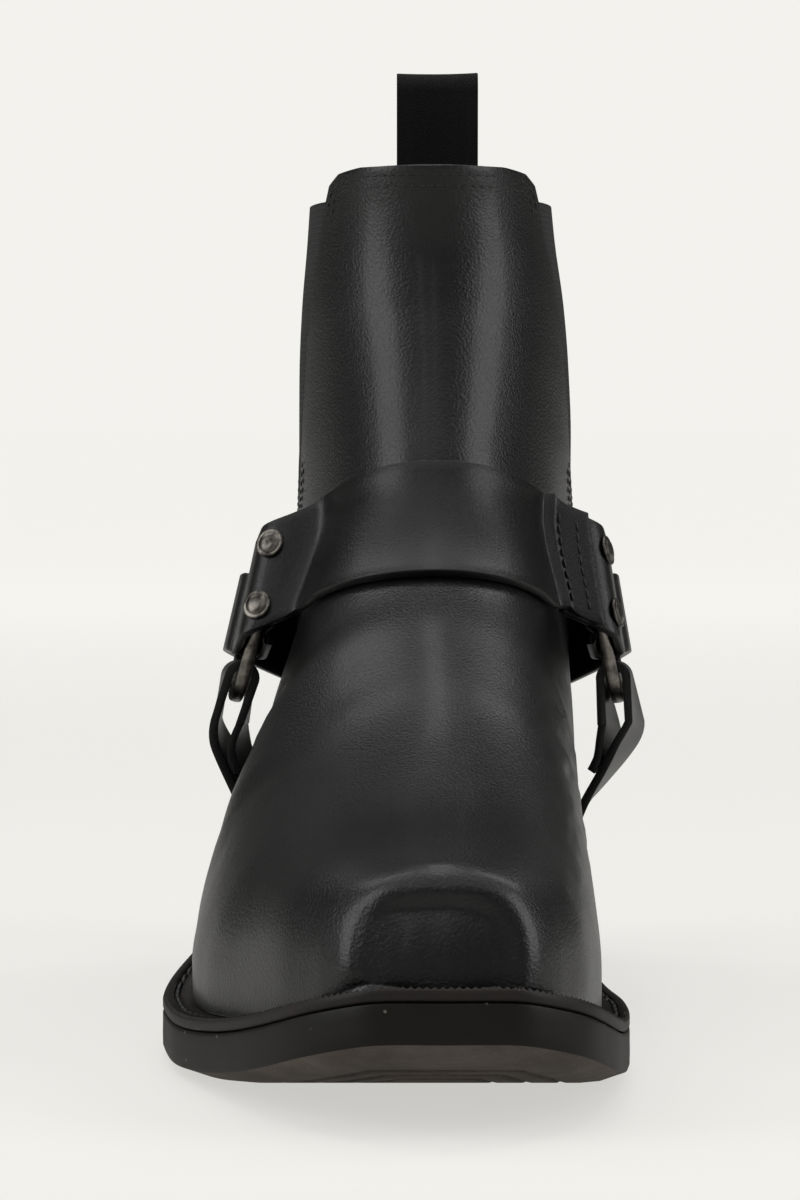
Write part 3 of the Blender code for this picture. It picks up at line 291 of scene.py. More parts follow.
def catmull(p0, p1, p2, p3, t):
    # A point between p1 and p2 of a curve whose speed follows the spacing of its points.
    d0 = max((p1 - p0).length ** 0.5, 1e-9)
    d1 = max((p2 - p1).length ** 0.5, 1e-9)
    d2 = max((p3 - p2).length ** 0.5, 1e-9)
    m1 = ((p1 - p0) / d0 - (p2 - p0) / (d0 + d1) + (p2 - p1) / d1) * d1
    m2 = ((p2 - p1) / d1 - (p3 - p1) / (d1 + d2) + (p3 - p2) / d2) * d1
    return (
        p1 * ((1 + 2 * t) * (1 - t) ** 2)
        + p2 * (t * t * (3 - 2 * t))
        + m1 * (t * (1 - t) ** 2)
        - m2 * (t * t * (1 - t))
    )


def edgeLoop(inset=0.0, ledge=0.0, rim=0.0):
    # The whole edge as (x, station) points: toe, medial side, heel, lateral side.
    samples = edgeSamples()
    medial = [edgePoint(1, row, inset, ledge, rim) for row in samples]
    lateral = [edgePoint(-1, row, inset, ledge, rim) for row in samples[1:-1]]
    return medial + lateral[::-1]


def acrossFaces(count, start, flip=False):
    # Quads that join each point of the medial side with its fellow on the lateral side.
    half = count // 2
    faces = []
    for index in range(half):
        a, b = index, index + 1
        c, d = (count - index - 1) % count, (count - index) % count
        face = [start + a, start + b, start + c, start + d]
        faces.append(face[::-1] if flip else face)
    return faces


def loft(loops, closedEnds=True):
    # Points and faces of loops of equal length, one after the other, with both ends filled across.
    count = len(loops[0])
    points = [point for loop in loops for point in loop]
    faces = []
    for level in range(len(loops) - 1):
        base = level * count
        for index in range(count):
            after = (index + 1) % count
            faces.append([base + index, base + after, base + count + after, base + count + index])
    if closedEnds:
        faces += acrossFaces(count, 0, True)
        faces += acrossFaces(count, (len(loops) - 1) * count)
    return points, faces


def atHeight(loop, height, lift=0.0):
    return [(x, yOf(station), height(station) + lift) for x, station in loop]


def insetX(side, station, inset):
    # Where the line set in from the sole's edge passes a station.
    low, high = 1.0, lastRow - 1.0
    for _ in range(24):
        row = (low + high) / 2
        if edgePoint(side, row, inset, 0.0)[1] < station:
            low = row
        else:
            high = row
    return edgePoint(side, low, inset, 0.0)[0]


def treadLoop(inset):
    # A closed line under the forefoot, at one distance from the sole's edge and from the tread's ends.
    front, back = treadSize["front"] + inset - treadSize["edge"], treadSize["back"] - inset + treadSize["edge"]
    stations = [mix(front, back, step / treadSize["steps"]) for step in range(treadSize["steps"] + 1)]
    medial = [(insetX(1, station, inset), station) for station in stations]
    lateral = [(insetX(-1, station, inset), station) for station in stations[::-1]]
    return medial + lateral


# The upper's own surface


def footRow(row, crestSize, widthSize):
    edge, top, crest, lateral, medial, *shape = row
    return [
        edge,
        top * soleSize["length"],
        crest * crestSize,
        lateral * widthSize,
        medial * widthSize,
        *shape,
    ]


def shaftRow(row):
    rise, back, front, rear, taper, lateral, medial, *shape = row
    width = mix(upperSize["ankleWidth"], upperSize["shaftWidth"], taper)
    station = upperSize["collarFront"] * soleSize["length"] + front * upperSize["shaftDepth"]
    height = mix(upperSize["instepHeight"], upperSize["collarHeight"], rise)
    return [float(lastRow), station, height, lateral * width, medial * width, *shape]


def backRow(row):
    # Station and height of a shaft section at the back seam.
    station = upperSize["collarFront"] * soleSize["length"] + upperSize["shaftDepth"] * (1 + row[3])
    return [
        station,
        mix(footPoint(1, lastRow).z, upperSize["collarHeight"] + upperSize["collarBackRise"], row[1]),
    ]


def footPoint(side, edge):
    # Where the upper's outer face meets the welt.
    x, station = edgePoint(side, edge, 0.0, 1.0)
    return Vector((x, yOf(station), weltTop(station) + gaps["seat"]))


def tipRow(first):
    # The point where the toe's front face meets the welt: a section with no girth.
    station = edgePoint(1, 0.0, 0.0, 1.0).y
    return [0.0, station, footPoint(1, 0.0).z, 0.0, 0.0, *first[5:]]


footRows = [footRow(row, upperSize["toeHeight"], soleSize["width"]) for row in toeSections]
footRows += [footRow(row, upperSize["instepHeight"], soleSize["width"]) for row in vampSections]
footRows += [footRow(row, upperSize["instepHeight"], upperSize["ankleWidth"]) for row in heelSections]
sectionRows = [tipRow(footRows[0])] + footRows + [shaftRow(row) for row in shaftSections]
heelBack = len(footRows)
collarRow = len(sectionRows) - 1
heelStation = edgePoint(1, lastRow, 0.0, 1.0).y
backRows = [[heelStation, footPoint(1, lastRow).z]] + [backRow(row) for row in shaftSections]
sectionColumns = list(zip(*sectionRows))
sectionTangents = [slopes(column) for column in sectionColumns]
backColumns = list(zip(*backRows))
backTangents = [slopes(column) for column in backColumns]


def readRows(columns, tangents, at):
    # Every column at a row number, whole or between two rows.
    last = len(columns[0]) - 1
    index = min(max(int(at), 0), last - 1)
    t = min(max(at, 0.0), float(last)) - index
    pairs = zip(columns, tangents)
    return [hermite(c[index], c[index + 1], m[index], m[index + 1], t) for c, m in pairs]


def bezier(a, b, c, d, t):
    s = 1 - t
    return a * s**3 + 3 * b * s * s * t + 3 * c * s * t * t + d * t**3


def belowBelly(foot, width, share):
    # Half breadth and height, as a share of the belly's, on the curve that closes under a section.
    # Where the section stands on the welt, only the part that is wider than its foot is used.
    low, high = 0.0, 1.0
    for _ in range(24):
        middle = (low + high) / 2
        if bezier(0.0, upperSize["lowRound"], 1.0, 1.0, middle) * width < foot:
            low = middle
        else:
            high = middle
    t = mix(low, 1.0, share)
    floor = bezier(0.0, 0.0, 1 - upperSize["lowRound"], 1.0, low)
    height = bezier(0.0, 0.0, 1 - upperSize["lowRound"], 1.0, t)
    return bezier(0.0, upperSize["lowRound"], 1.0, 1.0, t) * width, (height - floor) / max(1 - floor, 1e-6)


def upperPoint(at, roundShare):
    # A point of the upper's outer face. roundShare runs from -1, the lateral foot or the back seam,
    # over 0, the crest or the front, to 1 on the medial side.
    edge, station, topZ, lateral, medial, belly, wallL, wallM, crownL, crownM, low = readRows(
        sectionColumns, sectionTangents, at
    )
    side = 1 if roundShare > 0 else -1
    width, wall, crown = (medial, wallM, crownM) if side > 0 else (lateral, wallL, crownL)
    if at > heelBack:
        backStation, backZ = readRows(backColumns, backTangents, at - heelBack)
        end = Vector((0, yOf(backStation), backZ))
    else:
        end = footPoint(side, edge)
    far = abs(roundShare)
    if far > 1 - low:
        out, up = belowBelly(abs(end.x), width, (1 - far) / low)
        up *= belly
    else:
        t = far / (1 - low)
        out = bezier(0.0, crown * width, width, width, t)
        up = bezier(1.0, 1.0, belly + wall * (1 - belly), belly, t)
    return Vector((side * out, mix(end.y, yOf(station), up), mix(end.z, topZ, up)))


def upperNormal(at, roundShare):
    # Which way the outer face looks.
    step = 0.02
    lowAt, highAt = max(at - step, 0.02), min(at + step, float(collarRow))
    lowR, highR = max(roundShare - step, -1.0), min(roundShare + step, 1.0)
    along = upperPoint(highAt, roundShare) - upperPoint(lowAt, roundShare)
    around = upperPoint(max(at, 0.02), highR) - upperPoint(max(at, 0.02), lowR)
    normal = around.cross(along)
    return normal.normalized() if normal.length > 1e-12 else Vector((0, -1, 0))


def upperOffset(at, roundShare, depth):
    # The outer face moved along its normal; positive is outwards.
    return upperPoint(at, roundShare) + upperNormal(at, roundShare) * depth


def shellPoint(at, share, depth):
    # upperOffset, kept level along the foot of the wall and on the middle at the back seam.
    if at <= 0:
        return upperPoint(0, 0) + Vector((0, -depth, 0))
    point = upperOffset(at, share, depth)
    if abs(share) < 1:
        return point
    if at > heelBack:
        middle = (point + upperOffset(at, -share, depth)) / 2
        return Vector((0, middle.y, middle.z))
    foot = upperPoint(at, share)
    if at == heelBack:
        return foot + Vector((0, depth, 0))
    level = Vector((point.x - foot.x, point.y - foot.y, 0))
    return foot + level.normalized() * abs(depth) if level.length > 1e-9 else foot


# The elastic windows


def windowMiddle():
    # The line down the middle of both windows, seen from the side.
    return yOf(upperSize["collarFront"] * soleSize["length"] + goreSize["centre"] * upperSize["shaftDepth"])


def windowOutline(gap, flared):
    # Outline (y, z) of a window seen from the side: a tongue with a round foot, open to the collar.
    topZ = upperSize["collarHeight"] - upperSize["collarDip"]
    footZ = upperSize["collarHeight"] - goreSize["height"]
    middle = windowMiddle()
    radius = goreSize["footWidth"] / 2 - gap
    half = goreSize["topWidth"] / 2 - gap
    right = []
    for step in range(goreSize["arcSteps"] + 1):
        angle = math.radians(80) * step / goreSize["arcSteps"]
        right.append((radius * math.sin(angle), footZ + gap + radius * (1 - math.cos(angle))))
    right.append((half, topZ))
    if flared:
        for step in range(1, 4):
            angle = math.radians(30 * step)
            out = half + goreSize["panelCorner"] * (1 - math.cos(angle))
            right.append((out, topZ + upperSize["collarDip"] * math.sin(angle)))
        right.append(
            (
                half + 2 * goreSize["panelCorner"],
                topZ + upperSize["collarDip"] + upperSize["collarBackRise"],
            )
        )
        right.append((half + 2 * goreSize["panelCorner"], topZ + 3 * upperSize["collarDip"]))
    left = [(-out, height) for out, height in right[:0:-1]]
    return [(middle + out, height) for out, height in left + right]


def prism(name, outline, inner, outer):
    # A block across the boot, from one x to another, with the outline (y, z).
    points = [(x, y, z) for x in (inner, outer) for y, z in outline]
    count = len(outline)
    faces = [list(range(count)), list(range(count, 2 * count))]
    for index in range(count):
        after = (index + 1) % count
        faces.append([index, after, count + after, count + index])
    return solid(name, points, faces, None)


def boolean(thing, tool, operation):
    cut = thing.modifiers.new(tool.name, "BOOLEAN")
    cut.operation = operation
    cut.object = tool
    cut.solver = "EXACT"


# Straps


def sheetSolid(name, rows, thickness, madeOf):
    # A closed strap. rows holds, for each line along the strap, its points and their outward normals.
    inner = [[point for point, normal in row] for row in rows]
    outer = [[point + normal * thickness for point, normal in row] for row in rows]
    count, columns = len(rows), len(rows[0])
    sheet = count * columns
    points = [point for row in inner + outer for point in row]
    faces = []
    for row in range(count - 1):
        for column in range(columns - 1):
            a = row * columns + column
            faces.append([a, a + columns, a + columns + 1, a + 1])
            faces.append([sheet + a, sheet + a + 1, sheet + a + columns + 1, sheet + a + columns])
        for column in (0, columns - 1):
            a = row * columns + column
            faces.append([a, a + columns, sheet + a + columns, sheet + a])
    for row in (0, count - 1):
        for column in range(columns - 1):
            a = row * columns + column
            faces.append([a, a + 1, sheet + a + 1, sheet + a])
    return solid(name, points, faces, madeOf)


def ringFrame(side):
    # Centre of a ring and its directions: back, up (both in its plane) and out.
    lean = math.radians(ringSize["medialLean"] if side > 0 else ringSize["lateralLean"])
    yaw = math.radians(ringSize["yaw"])
    centre = Vector(
        (ringSize["medialX"] if side > 0 else ringSize["lateralX"], yOf(ringSize["station"]), ringSize["z"])
    )
    back = Vector((side * math.sin(yaw), math.cos(yaw), 0))
    up = Vector((-side * math.sin(lean), 0, math.cos(lean)))
    up = (up - back * up.dot(back)).normalized()
    out = back.cross(up) if side > 0 else up.cross(back)
    return centre, back, up, out.normalized()


def ringWay(side, angle):
    # Unit direction from the ring's centre along a strap that leaves it at an angle, and its width's.
    _, back, up, _ = ringFrame(side)
    turn = math.radians(angle)
    along = back * math.cos(turn) + up * math.sin(turn)
    across = back * math.sin(turn) - up * math.cos(turn)
    return along, across


def foldRoom():
    # How far a strap's inner face lies from the ring's plane beside the fold.
    return ringSize["wire"] + 2 * gaps["seat"]


def foldPoint(side, angle, offset, reach, outShare=1.0):
    # Inner face of a strap's leg at a distance from its fold, on the outer (1) or inner (-1) side.
    # The fold lies where the strap's width just fits inside the ring.
    centre, _, _, out = ringFrame(side)
    along, across = ringWay(side, angle)
    widths = {
        instepSize["angle"]: instepSize["endWidth"],
        shankSize["angle"]: shankSize["width"],
        heelStrapSize["angle"]: heelStrapSize["width"],
    }
    width = widths[angle]
    depth = math.sqrt(ringSize["radius"] ** 2 - (width / 2) ** 2) - strapSize["foldSlack"]
    return centre + along * (depth + reach) + across * offset + out * foldRoom() * outShare


def foldedEnd(side, angle, offset, run):
    # Points and normals of a strap that runs to its ring, folds round the wire and ends in a flap.
    # run is its outer leg, from far to near, and the flap lies against the run's last part.
    _, _, _, out = ringFrame(side)
    along, _ = ringWay(side, angle)
    path = list(run)
    middle = foldPoint(side, angle, offset, 0.0, 0.0)
    for step in range(strapSize["foldSteps"] + 1):
        turn = math.pi * step / strapSize["foldSteps"]
        normal = out * math.cos(turn) - along * math.sin(turn)
        path.append((middle + normal * foldRoom(), normal))
    path.append((foldPoint(side, angle, offset, strapSize["wireClear"], -1.0), -out))
    reach = shankSize["flap"] if angle == shankSize["angle"] else strapSize["flapLength"]
    for step in range(1, strapSize["flapSteps"] + 1):
        far = (reach - strapSize["wireClear"]) * step / strapSize["flapSteps"]
        point, normal = backAlong(run, far)
        gap = mix(2 * foldRoom(), gaps["seat"], smooth(far / 0.013))
        path.append((point - normal * gap, -normal))
    return path


def backAlong(run, distance):
    # The place on a path of points and normals at a distance before its end.
    for (near, nearNormal), (far, farNormal) in zip(run[::-1], run[-2::-1]):
        length = (far - near).length
        if length >= distance:
            share = distance / length
            return near.lerp(far, share), nearNormal.lerp(farNormal, share).normalized()
        distance -= length
    return run[0]


def pathNormals(points, across, outward):
    # Normals of a path, square to it and to the strap's width, on the side of outward.
    normals = []
    for index in range(len(points)):
        before = points[max(index - 1, 0)]
        after = points[min(index + 1, len(points) - 1)]
        normals.append((after - before).cross(across).normalized())
    flip = -1 if normals[-1].dot(outward) < 0 else 1
    return [normal * flip for normal in normals]


def bridge(start, startWay, end, endWay, count, ease=strapSize["bridgeEase"]):
    # Points of a smooth path between two places where its direction is known, without its ends.
    length = (end - start).length * ease
    a, b = start + startWay * length, end - endWay * length
    return [bezier(start, a, b, end, step / count) for step in range(1, count)]


def planeShare(share, front, rear, low, high):
    # The section of the upper whose point at this share of the girth lies on the line from front to
    # rear, seen from the side.
    way = rear - front

    def sideOf(at):
        point = upperPoint(at, share)
        return (point.y - front.y) * way.z - (point.z - front.z) * way.y

    start = sideOf(low) > 0
    for _ in range(30):
        middle = (low + high) / 2
        if (sideOf(middle) > 0) == start:
            low = middle
        else:
            high = middle
    return low


def alongUpper(shares, front, rear, low, high, gap):
    # Points and normals just off the upper, where it meets the line from front to rear.
    path = []
    for share in shares:
        at = planeShare(share, front, rear, low, high)
        normal = upperNormal(at, share)
        path.append((upperPoint(at, share) + normal * gap, normal))
    return path


def acrossOffsets(width):
    return [width * (step / strapSize["rows"] - 0.5) for step in range(strapSize["rows"] + 1)]


def departShare(side, front, aim, end, along):
    # How far round the upper the strap stays on it: it leaves while still in front of its ring.
    low, high = 0.05, instepSize["depart"]
    for _ in range(20):
        share = (low + high) / 2
        at = planeShare(side * share, front, aim, 9.0, heelBack + 4.0)
        if (upperPoint(at, side * share) - end).dot(along) > strapSize["departRoom"]:
            low = share
        else:
            high = share
    return low


def easeBend(path, joint):
    # no sharp line where the strap leaves the upper
    points = [point for point, normal in path]
    normals = [normal for point, normal in path]
    for _ in range(strapSize["easePasses"]):
        eased = list(normals)
        for index in range(2, len(path) - 1):
            eased[index] = (normals[index - 1] + normals[index] * 2 + normals[index + 1]).normalized()
        normals = eased
        moved = list(points)
        for index in range(joint - 3, joint + 9):
            moved[index] = (points[index - 1] + points[index] * 2 + points[index + 1]) / 4
        points = moved
    return list(zip(points, normals))


def instepRun(side, offset):
    # The instep strap's line on one side: from the front over the upper, then free to the ring.
    tangent = upperPoint(instepSize["middle"] + 2.5, 0.0) - upperPoint(instepSize["middle"] - 2.5, 0.0)
    front = upperPoint(instepSize["middle"], 0.0) + tangent.normalized() * offset
    narrow = offset * instepSize["endWidth"] / instepSize["width"]
    along, across = ringWay(side, instepSize["angle"])
    end = foldPoint(side, instepSize["angle"], narrow, strapSize["wireClear"])
    aim = foldPoint(side, instepSize["angle"], narrow, 0.0) + Vector((0, 0, instepSize["bow"]))
    depart = departShare(side, front, aim, end, along)
    shares = [
        side * max(depart * step / instepSize["steps"], 1e-6) for step in range(instepSize["steps"] + 1)
    ]
    path = alongUpper(shares, front, aim, 9.0, heelBack + 4.0, gaps["strap"])
    start, way = path[-1][0], (path[-1][0] - path[-2][0]).normalized()
    chain = [start] + bridge(start, way, end, -along, strapSize["bridgeSteps"]) + [end]
    normals = pathNormals(chain, across, ringFrame(side)[3])
    whole = easeBend(path + list(zip(chain, normals))[1:], len(path) - 1)
    return whole[: len(path)], whole[len(path) :]


def makeInstepStrap(leather):
    # Folded round the lateral ring; its medial end is cut off square and lies on the ring's tab.
    rows = []
    lift = strapSize["thickness"] + gaps["seat"]
    for offset in acrossOffsets(instepSize["width"]):
        narrow = offset * instepSize["endWidth"] / instepSize["width"]
        over, free = instepRun(-1, offset)
        lateral = foldedEnd(-1, instepSize["angle"], narrow, over + free)
        over, free = instepRun(1, offset)
        raised = []
        for index, (point, normal) in enumerate(free[:instepSize["cut"]]):
            raised.append((point + normal * lift * smooth((index + 1) / 2), normal))
        medial = over + raised
        rows.append(lateral[::-1] + medial[1:])
    return sheetSolid("instep_strap_dressed", rows, strapSize["thickness"], leather)


def makeRingTab(leather):
    rows = []
    for offset in acrossOffsets(instepSize["width"]):
        narrow = offset * instepSize["endWidth"] / instepSize["width"]
        _, free = instepRun(1, offset)
        rows.append(foldedEnd(1, instepSize["angle"], narrow, free[1:]))
    return sheetSolid("ring_tab_medial_dressed", rows, strapSize["thickness"], leather)


def twistStrap(strap, side):
    # between the ring and the sole the strap turns a little, so the front sees one face
    centre = ringFrame(side)[0]
    turn = shankSize["twistMedial"] if side > 0 else shankSize["twistLateral"]
    top, foot = centre.z - ringSize["radius"], shankSize["twistFoot"]
    for vertex in strap.data.vertices:
        rise = (vertex.co.z - foot) / (top - foot)
        share = smooth(rise / 0.40) * smooth((1.02 - rise) / 0.35)
        vertex.co.x += turn * (vertex.co.y - centre.y) * share


def makeShankStrap(side, leather):
    # From the ring down to the welt at the waist, where it is tucked in beside the upper.
    rows = []
    _, _, _, out = ringFrame(side)
    along, across = ringWay(side, shankSize["angle"])
    bend = (out * shankSize["bend"] - along).normalized()
    for offset in acrossOffsets(shankSize["width"]):
        low = []
        for share in (0.95, 0.89, 0.83):
            at = shankSize["foot"] - offset * shankSize["spread"] * side + (0.95 - share) * shankSize["turn"]
            normal = upperNormal(at, side * share)
            low.append((upperPoint(at, side * share) + normal * gaps["seat"], normal))
        start, way = low[-1][0], (low[-1][0] - low[-2][0]).normalized()
        end = foldPoint(side, shankSize["angle"], offset * side, strapSize["wireClear"])
        chain = [start] + bridge(start, way, end, bend, shankSize["steps"], shankSize["ease"]) + [end]
        normals = pathNormals(chain, across, out)
        run = low + list(zip(chain, normals))[1:]
        rows.append(foldedEnd(side, shankSize["angle"], offset * side, run))
    name = "medial" if side > 0 else "lateral"
    strap = sheetSolid("shank_strap_" + name + "_dressed", rows, strapSize["thickness"], leather)
    twistStrap(strap, side)
    return strap


def makeHeelStrap(leather):
    # From ring to ring round the back of the heel.
    rows = []
    for offset in acrossOffsets(heelStrapSize["width"]):
        halves = []
        for side in (-1, 1):
            along, across = ringWay(side, heelStrapSize["angle"])
            level = offset if across.z > 0 else -offset
            near = foldPoint(side, heelStrapSize["angle"], level, 0.0)
            rear = Vector((0, yOf(soleSize["length"]), heelStrapSize["z"] + offset))
            steps = range(heelStrapSize["steps"] + 1)
            shares = [
                side * mix(1.0, heelStrapSize["depart"], step / heelStrapSize["steps"]) for step in steps
            ]
            path = alongUpper(shares, rear, near, 14.0, heelBack + 4.0, gaps["seat"])
            start, way = path[-1][0], (path[-1][0] - path[-2][0]).normalized()
            end = foldPoint(side, heelStrapSize["angle"], level, strapSize["wireClear"])
            chain = [start] + bridge(start, way, end, -along, strapSize["bridgeSteps"]) + [end]
            normals = pathNormals(chain, across, ringFrame(side)[3])
            free = list(zip(chain, normals))[1:]
            halves.append(foldedEnd(side, heelStrapSize["angle"], level, path + free))
        lateral, medial = halves
        middle = (lateral[0][0] + medial[0][0]) / 2
        back = (Vector((0, middle.y, middle.z)), Vector((0, 1, 0)))
        rows.append(lateral[:0:-1] + [back] + medial[1:])
    return sheetSolid("heel_strap_dressed", rows, strapSize["thickness"], leather)


def makeRing(side, metal):
    name = "medial" if side > 0 else "lateral"
    centre, back, up, out = ringFrame(side)
    points, faces = [], []
    for step in range(ringSize["steps"]):
        turn = 2 * math.pi * step / ringSize["steps"]
        spoke = back * math.cos(turn) + up * math.sin(turn)
        after = (step + 1) % ringSize["steps"]
        for corner in range(ringSize["wireSteps"]):
            roll = 2 * math.pi * corner / ringSize["wireSteps"]
            flat, tall = math.cos(roll), math.sin(roll)
            flat, tall = math.copysign(abs(flat) ** 0.6, flat), math.copysign(abs(tall) ** 0.6, tall)
            points.append(
                centre
                + spoke * (ringSize["radius"] + ringSize["wire"] * flat)
                + out * ringSize["wire"] * tall
            )
            beside = (corner + 1) % ringSize["wireSteps"]
            here, there = step * ringSize["wireSteps"], after * ringSize["wireSteps"]
            faces.append([here + corner, here + beside, there + beside, there + corner])
    return solid("ring_" + name + "_dressed", points, faces, metal)


def backWall(level, x):
    # A place on the upper near the back seam at a height and x, its normal along the boot, and how
    # thick the leather is that way.
    low, high = float(heelBack), float(collarRow)
    for _ in range(24):
        at = (low + high) / 2
        if upperPoint(at, 1.0).z < level:
            low = at
        else:
            high = at
    side = 1 if x > 0 else -1
    near, far = 0.6, 1.0
    for _ in range(24):
        share = (near + far) / 2
        if upperPoint(at, side * share).x * side > abs(x):
            near = share
        else:
            far = share
    normal = upperNormal(at, side * share)
    straight = Vector((0, normal.y, normal.z)).normalized()
    return upperPoint(at, side * share), straight, upperSize["leather"] / straight.dot(normal)


def makePullLoop(webbing):
    # A band sewn inside and outside the back of the collar, with a finger's gap above it.
    top = upperPoint(collarRow, 1.0).z
    rows = []
    for step in range(loopSize["rows"] + 1):
        x = loopSize["shift"] + loopSize["width"] * (step / loopSize["rows"] - 0.5)
        inside, outside = [], []
        for drop in (loopSize["tail"], loopSize["tail"] * 0.6, loopSize["tail"] * 0.25, 0.0):
            point, normal, wall = backWall(top - drop, x)
            inside.append((point - normal * (wall + 2 * gaps["strap"]), -normal))
            outside.append((point + normal * gaps["seat"], normal))
        middle = (inside[-1][0] + outside[-1][0]) / 2
        reach = loopSize["gape"] / 2
        arch = []
        for turnStep in range(loopSize["steps"] + 1):
            turn = math.pi * turnStep / loopSize["steps"]
            normal = Vector((0, -math.cos(turn), math.sin(turn)))
            centre = Vector((x, middle.y, top + loopSize["rise"] - loopSize["thickness"] - reach))
            arch.append((centre + normal * reach, normal))
        rows.append(inside + arch + outside[::-1])
    return sheetSolid("pull_loop_dressed", rows, loopSize["thickness"], webbing)


# Making pieces


def solid(name, points, faces, madeOf, merge=True, sharp=40.0):
    # one closed mesh from points and faces
    mesh = bpy.data.meshes.new(name)
    shape = bmesh.new()
    corners = [shape.verts.new(point) for point in points]
    for face in faces:
        ring = list(dict.fromkeys(face))
        if len(ring) > 2:
            shape.faces.new([corners[index] for index in ring])
    if merge:
        bmesh.ops.remove_doubles(shape, verts=shape.verts, dist=1e-6)
        bmesh.ops.dissolve_degenerate(shape, edges=shape.edges, dist=1e-6)
    bmesh.ops.recalc_face_normals(shape, faces=shape.faces)
    shape.to_mesh(mesh)
    shape.free()
    if madeOf:
        mesh.materials.append(madeOf)
    mesh.shade_smooth()
    mesh.set_sharp_from_angle(angle=math.radians(sharp))
    thing = bpy.data.objects.new(name, mesh)
    bpy.context.scene.collection.objects.link(thing)
    return thing


def bakeModifiers(thing):
    # the modifiers' result becomes the mesh
    bpy.context.view_layer.update()
    graph = bpy.context.evaluated_depsgraph_get()
    mesh = bpy.data.meshes.new_from_object(thing.evaluated_get(graph))
    thing.modifiers.clear()
    thing.data = mesh
    return thing


def soften(thing, width, segments=2, angle=40.0):
    # rounded cut edges
    bevel = thing.modifiers.new("softEdges", "BEVEL")
    bevel.width = width
    bevel.segments = segments
    bevel.limit_method = "ANGLE"
    bevel.angle_limit = math.radians(angle)
    bakeModifiers(thing)
    thing.data.shade_smooth()
    thing.data.set_sharp_from_angle(angle=math.radians(60))
    return thing


def dress(thing, slot, *nodes):
    # the piece rides on the boot and stands for its CAD nodes
    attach(thing, "root")
    if nodes:
        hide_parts(*nodes)
    return thing


# Materials


def toLinear(hexColour):
    parts = [int(hexColour[i : i + 2], 16) / 255 for i in (1, 3, 5)]
    return [c / 12.92 if c <= 0.04045 else ((c + 0.055) / 1.055) ** 2.4 for c in parts] + [1.0]


def addNode(tree, kind, settings=None, sockets=None, links=None):
    # one node, its properties, its socket values and what feeds it
    node = tree.nodes.new("ShaderNode" + kind)
    for key, value in (settings or {}).items():
        setattr(node, key, value)
    for key, value in (sockets or {}).items():
        node.inputs[key].default_value = value
    for key, (source, output) in (links or {}).items():
        tree.links.new(source.outputs[output], node.inputs[key])
    return node


def newMaterial(name, sockets):
    material = bpy.data.materials.new(name)
    material.use_nodes = True
    shader = material.node_tree.nodes["Principled BSDF"]
    for key, value in sockets.items():
        shader.inputs[key].default_value = value
    return material, material.node_tree, shader


def blendColours(tree, shader, factor, output, dark, light, low=0.3, high=0.7):
    ramp = addNode(tree, "ValToRGB", links={"Fac": (factor, output)})
    ramp.color_ramp.elements[0].position = low
    ramp.color_ramp.elements[1].position = high
    ramp.color_ramp.elements[0].color = toLinear(dark)
    ramp.color_ramp.elements[1].color = toLinear(light)
    tree.links.new(ramp.outputs["Color"], shader.inputs["Base Color"])
    return ramp


def varyRoughness(tree, shader, factor, output, low, high):
    spread = addNode(
        tree, "MapRange", sockets={"To Min": low, "To Max": high}, links={"Value": (factor, output)}
    )
    tree.links.new(spread.outputs["Result"], shader.inputs["Roughness"])


def stackBumps(tree, shader, layers):
    # layers: (node, output, strength, height in metres)
    below = None
    for source, output, strength, height in layers:
        links = {"Height": (source, output)}
        if below:
            links["Normal"] = (below, "Normal")
        below = addNode(tree, "Bump", sockets={"Strength": strength, "Distance": height}, links=links)
    tree.links.new(below.outputs["Normal"], shader.inputs["Normal"])


def smoothLeather(name, look):
    # full-grain cowhide, dyed through and polished: a fine pebble under a thin wax film, so highlights
    # are soft-edged and break into sparks
    material, tree, shader = newMaterial(
        name, {
            "IOR": 1.44,
            "Coat Weight": look["wax"],
            "Coat Roughness": look["waxRoughness"],
            "Coat IOR": 1.45,
        }
    )
    place = addNode(tree, "TexCoord")
    where = (place, "Object")
    pebble = addNode(
        tree,
        "TexVoronoi",
        {"feature": "SMOOTH_F1"},
        {"Scale": 1 / look["pebble"], "Smoothness": 0.6},
        {"Vector": where},
    )
    pores = addNode(
        tree,
        "TexNoise",
        sockets={"Scale": 1 / look["pores"], "Detail": 4.0, "Roughness": 0.7},
        links={"Vector": where},
    )
    clouds = addNode(
        tree, "TexNoise", sockets={"Scale": 1 / look["clouds"], "Detail": 3.0}, links={"Vector": where}
    )
    handling = addNode(
        tree,
        "TexNoise",
        sockets={"Scale": 1 / look["handling"], "Detail": 5.0, "Distortion": 0.6},
        links={"Vector": where},
    )
    blendColours(tree, shader, clouds, "Fac", look["dark"], look["light"])
    varyRoughness(tree, shader, handling, "Fac", look["roughLow"], look["roughHigh"])
    stackBumps(
        tree,
        shader,
        [
            (handling, "Fac", 0.35, look["waviness"]),
            (pebble, "Distance", look["pebbleStrength"], look["pebbleHeight"]),
            (pores, "Fac", look["poreStrength"], look["poreHeight"]),
        ],
    )
    return material


upperLook = dict(
    dark="#070708", light="#0D0D0E", pebble=0.7 * millimetre, pores=0.3 * millimetre,
    clouds=0.045, handling=0.012,
    roughLow=0.25, roughHigh=0.36, wax=0.20, waxRoughness=0.19, waviness=0.10 * millimetre,
    pebbleStrength=0.7, pebbleHeight=0.15 * millimetre, poreStrength=0.6, poreHeight=0.12 * millimetre,
)
strapLook = dict(
    upperLook, dark="#070707", light="#0C0C0C", roughLow=0.26, roughHigh=0.36, wax=0.08, pebbleStrength=0.40,
)
calfLeather = smoothLeather("polished_black_cowhide", upperLook)
strapLeather = smoothLeather("black_strap_cowhide", strapLook)


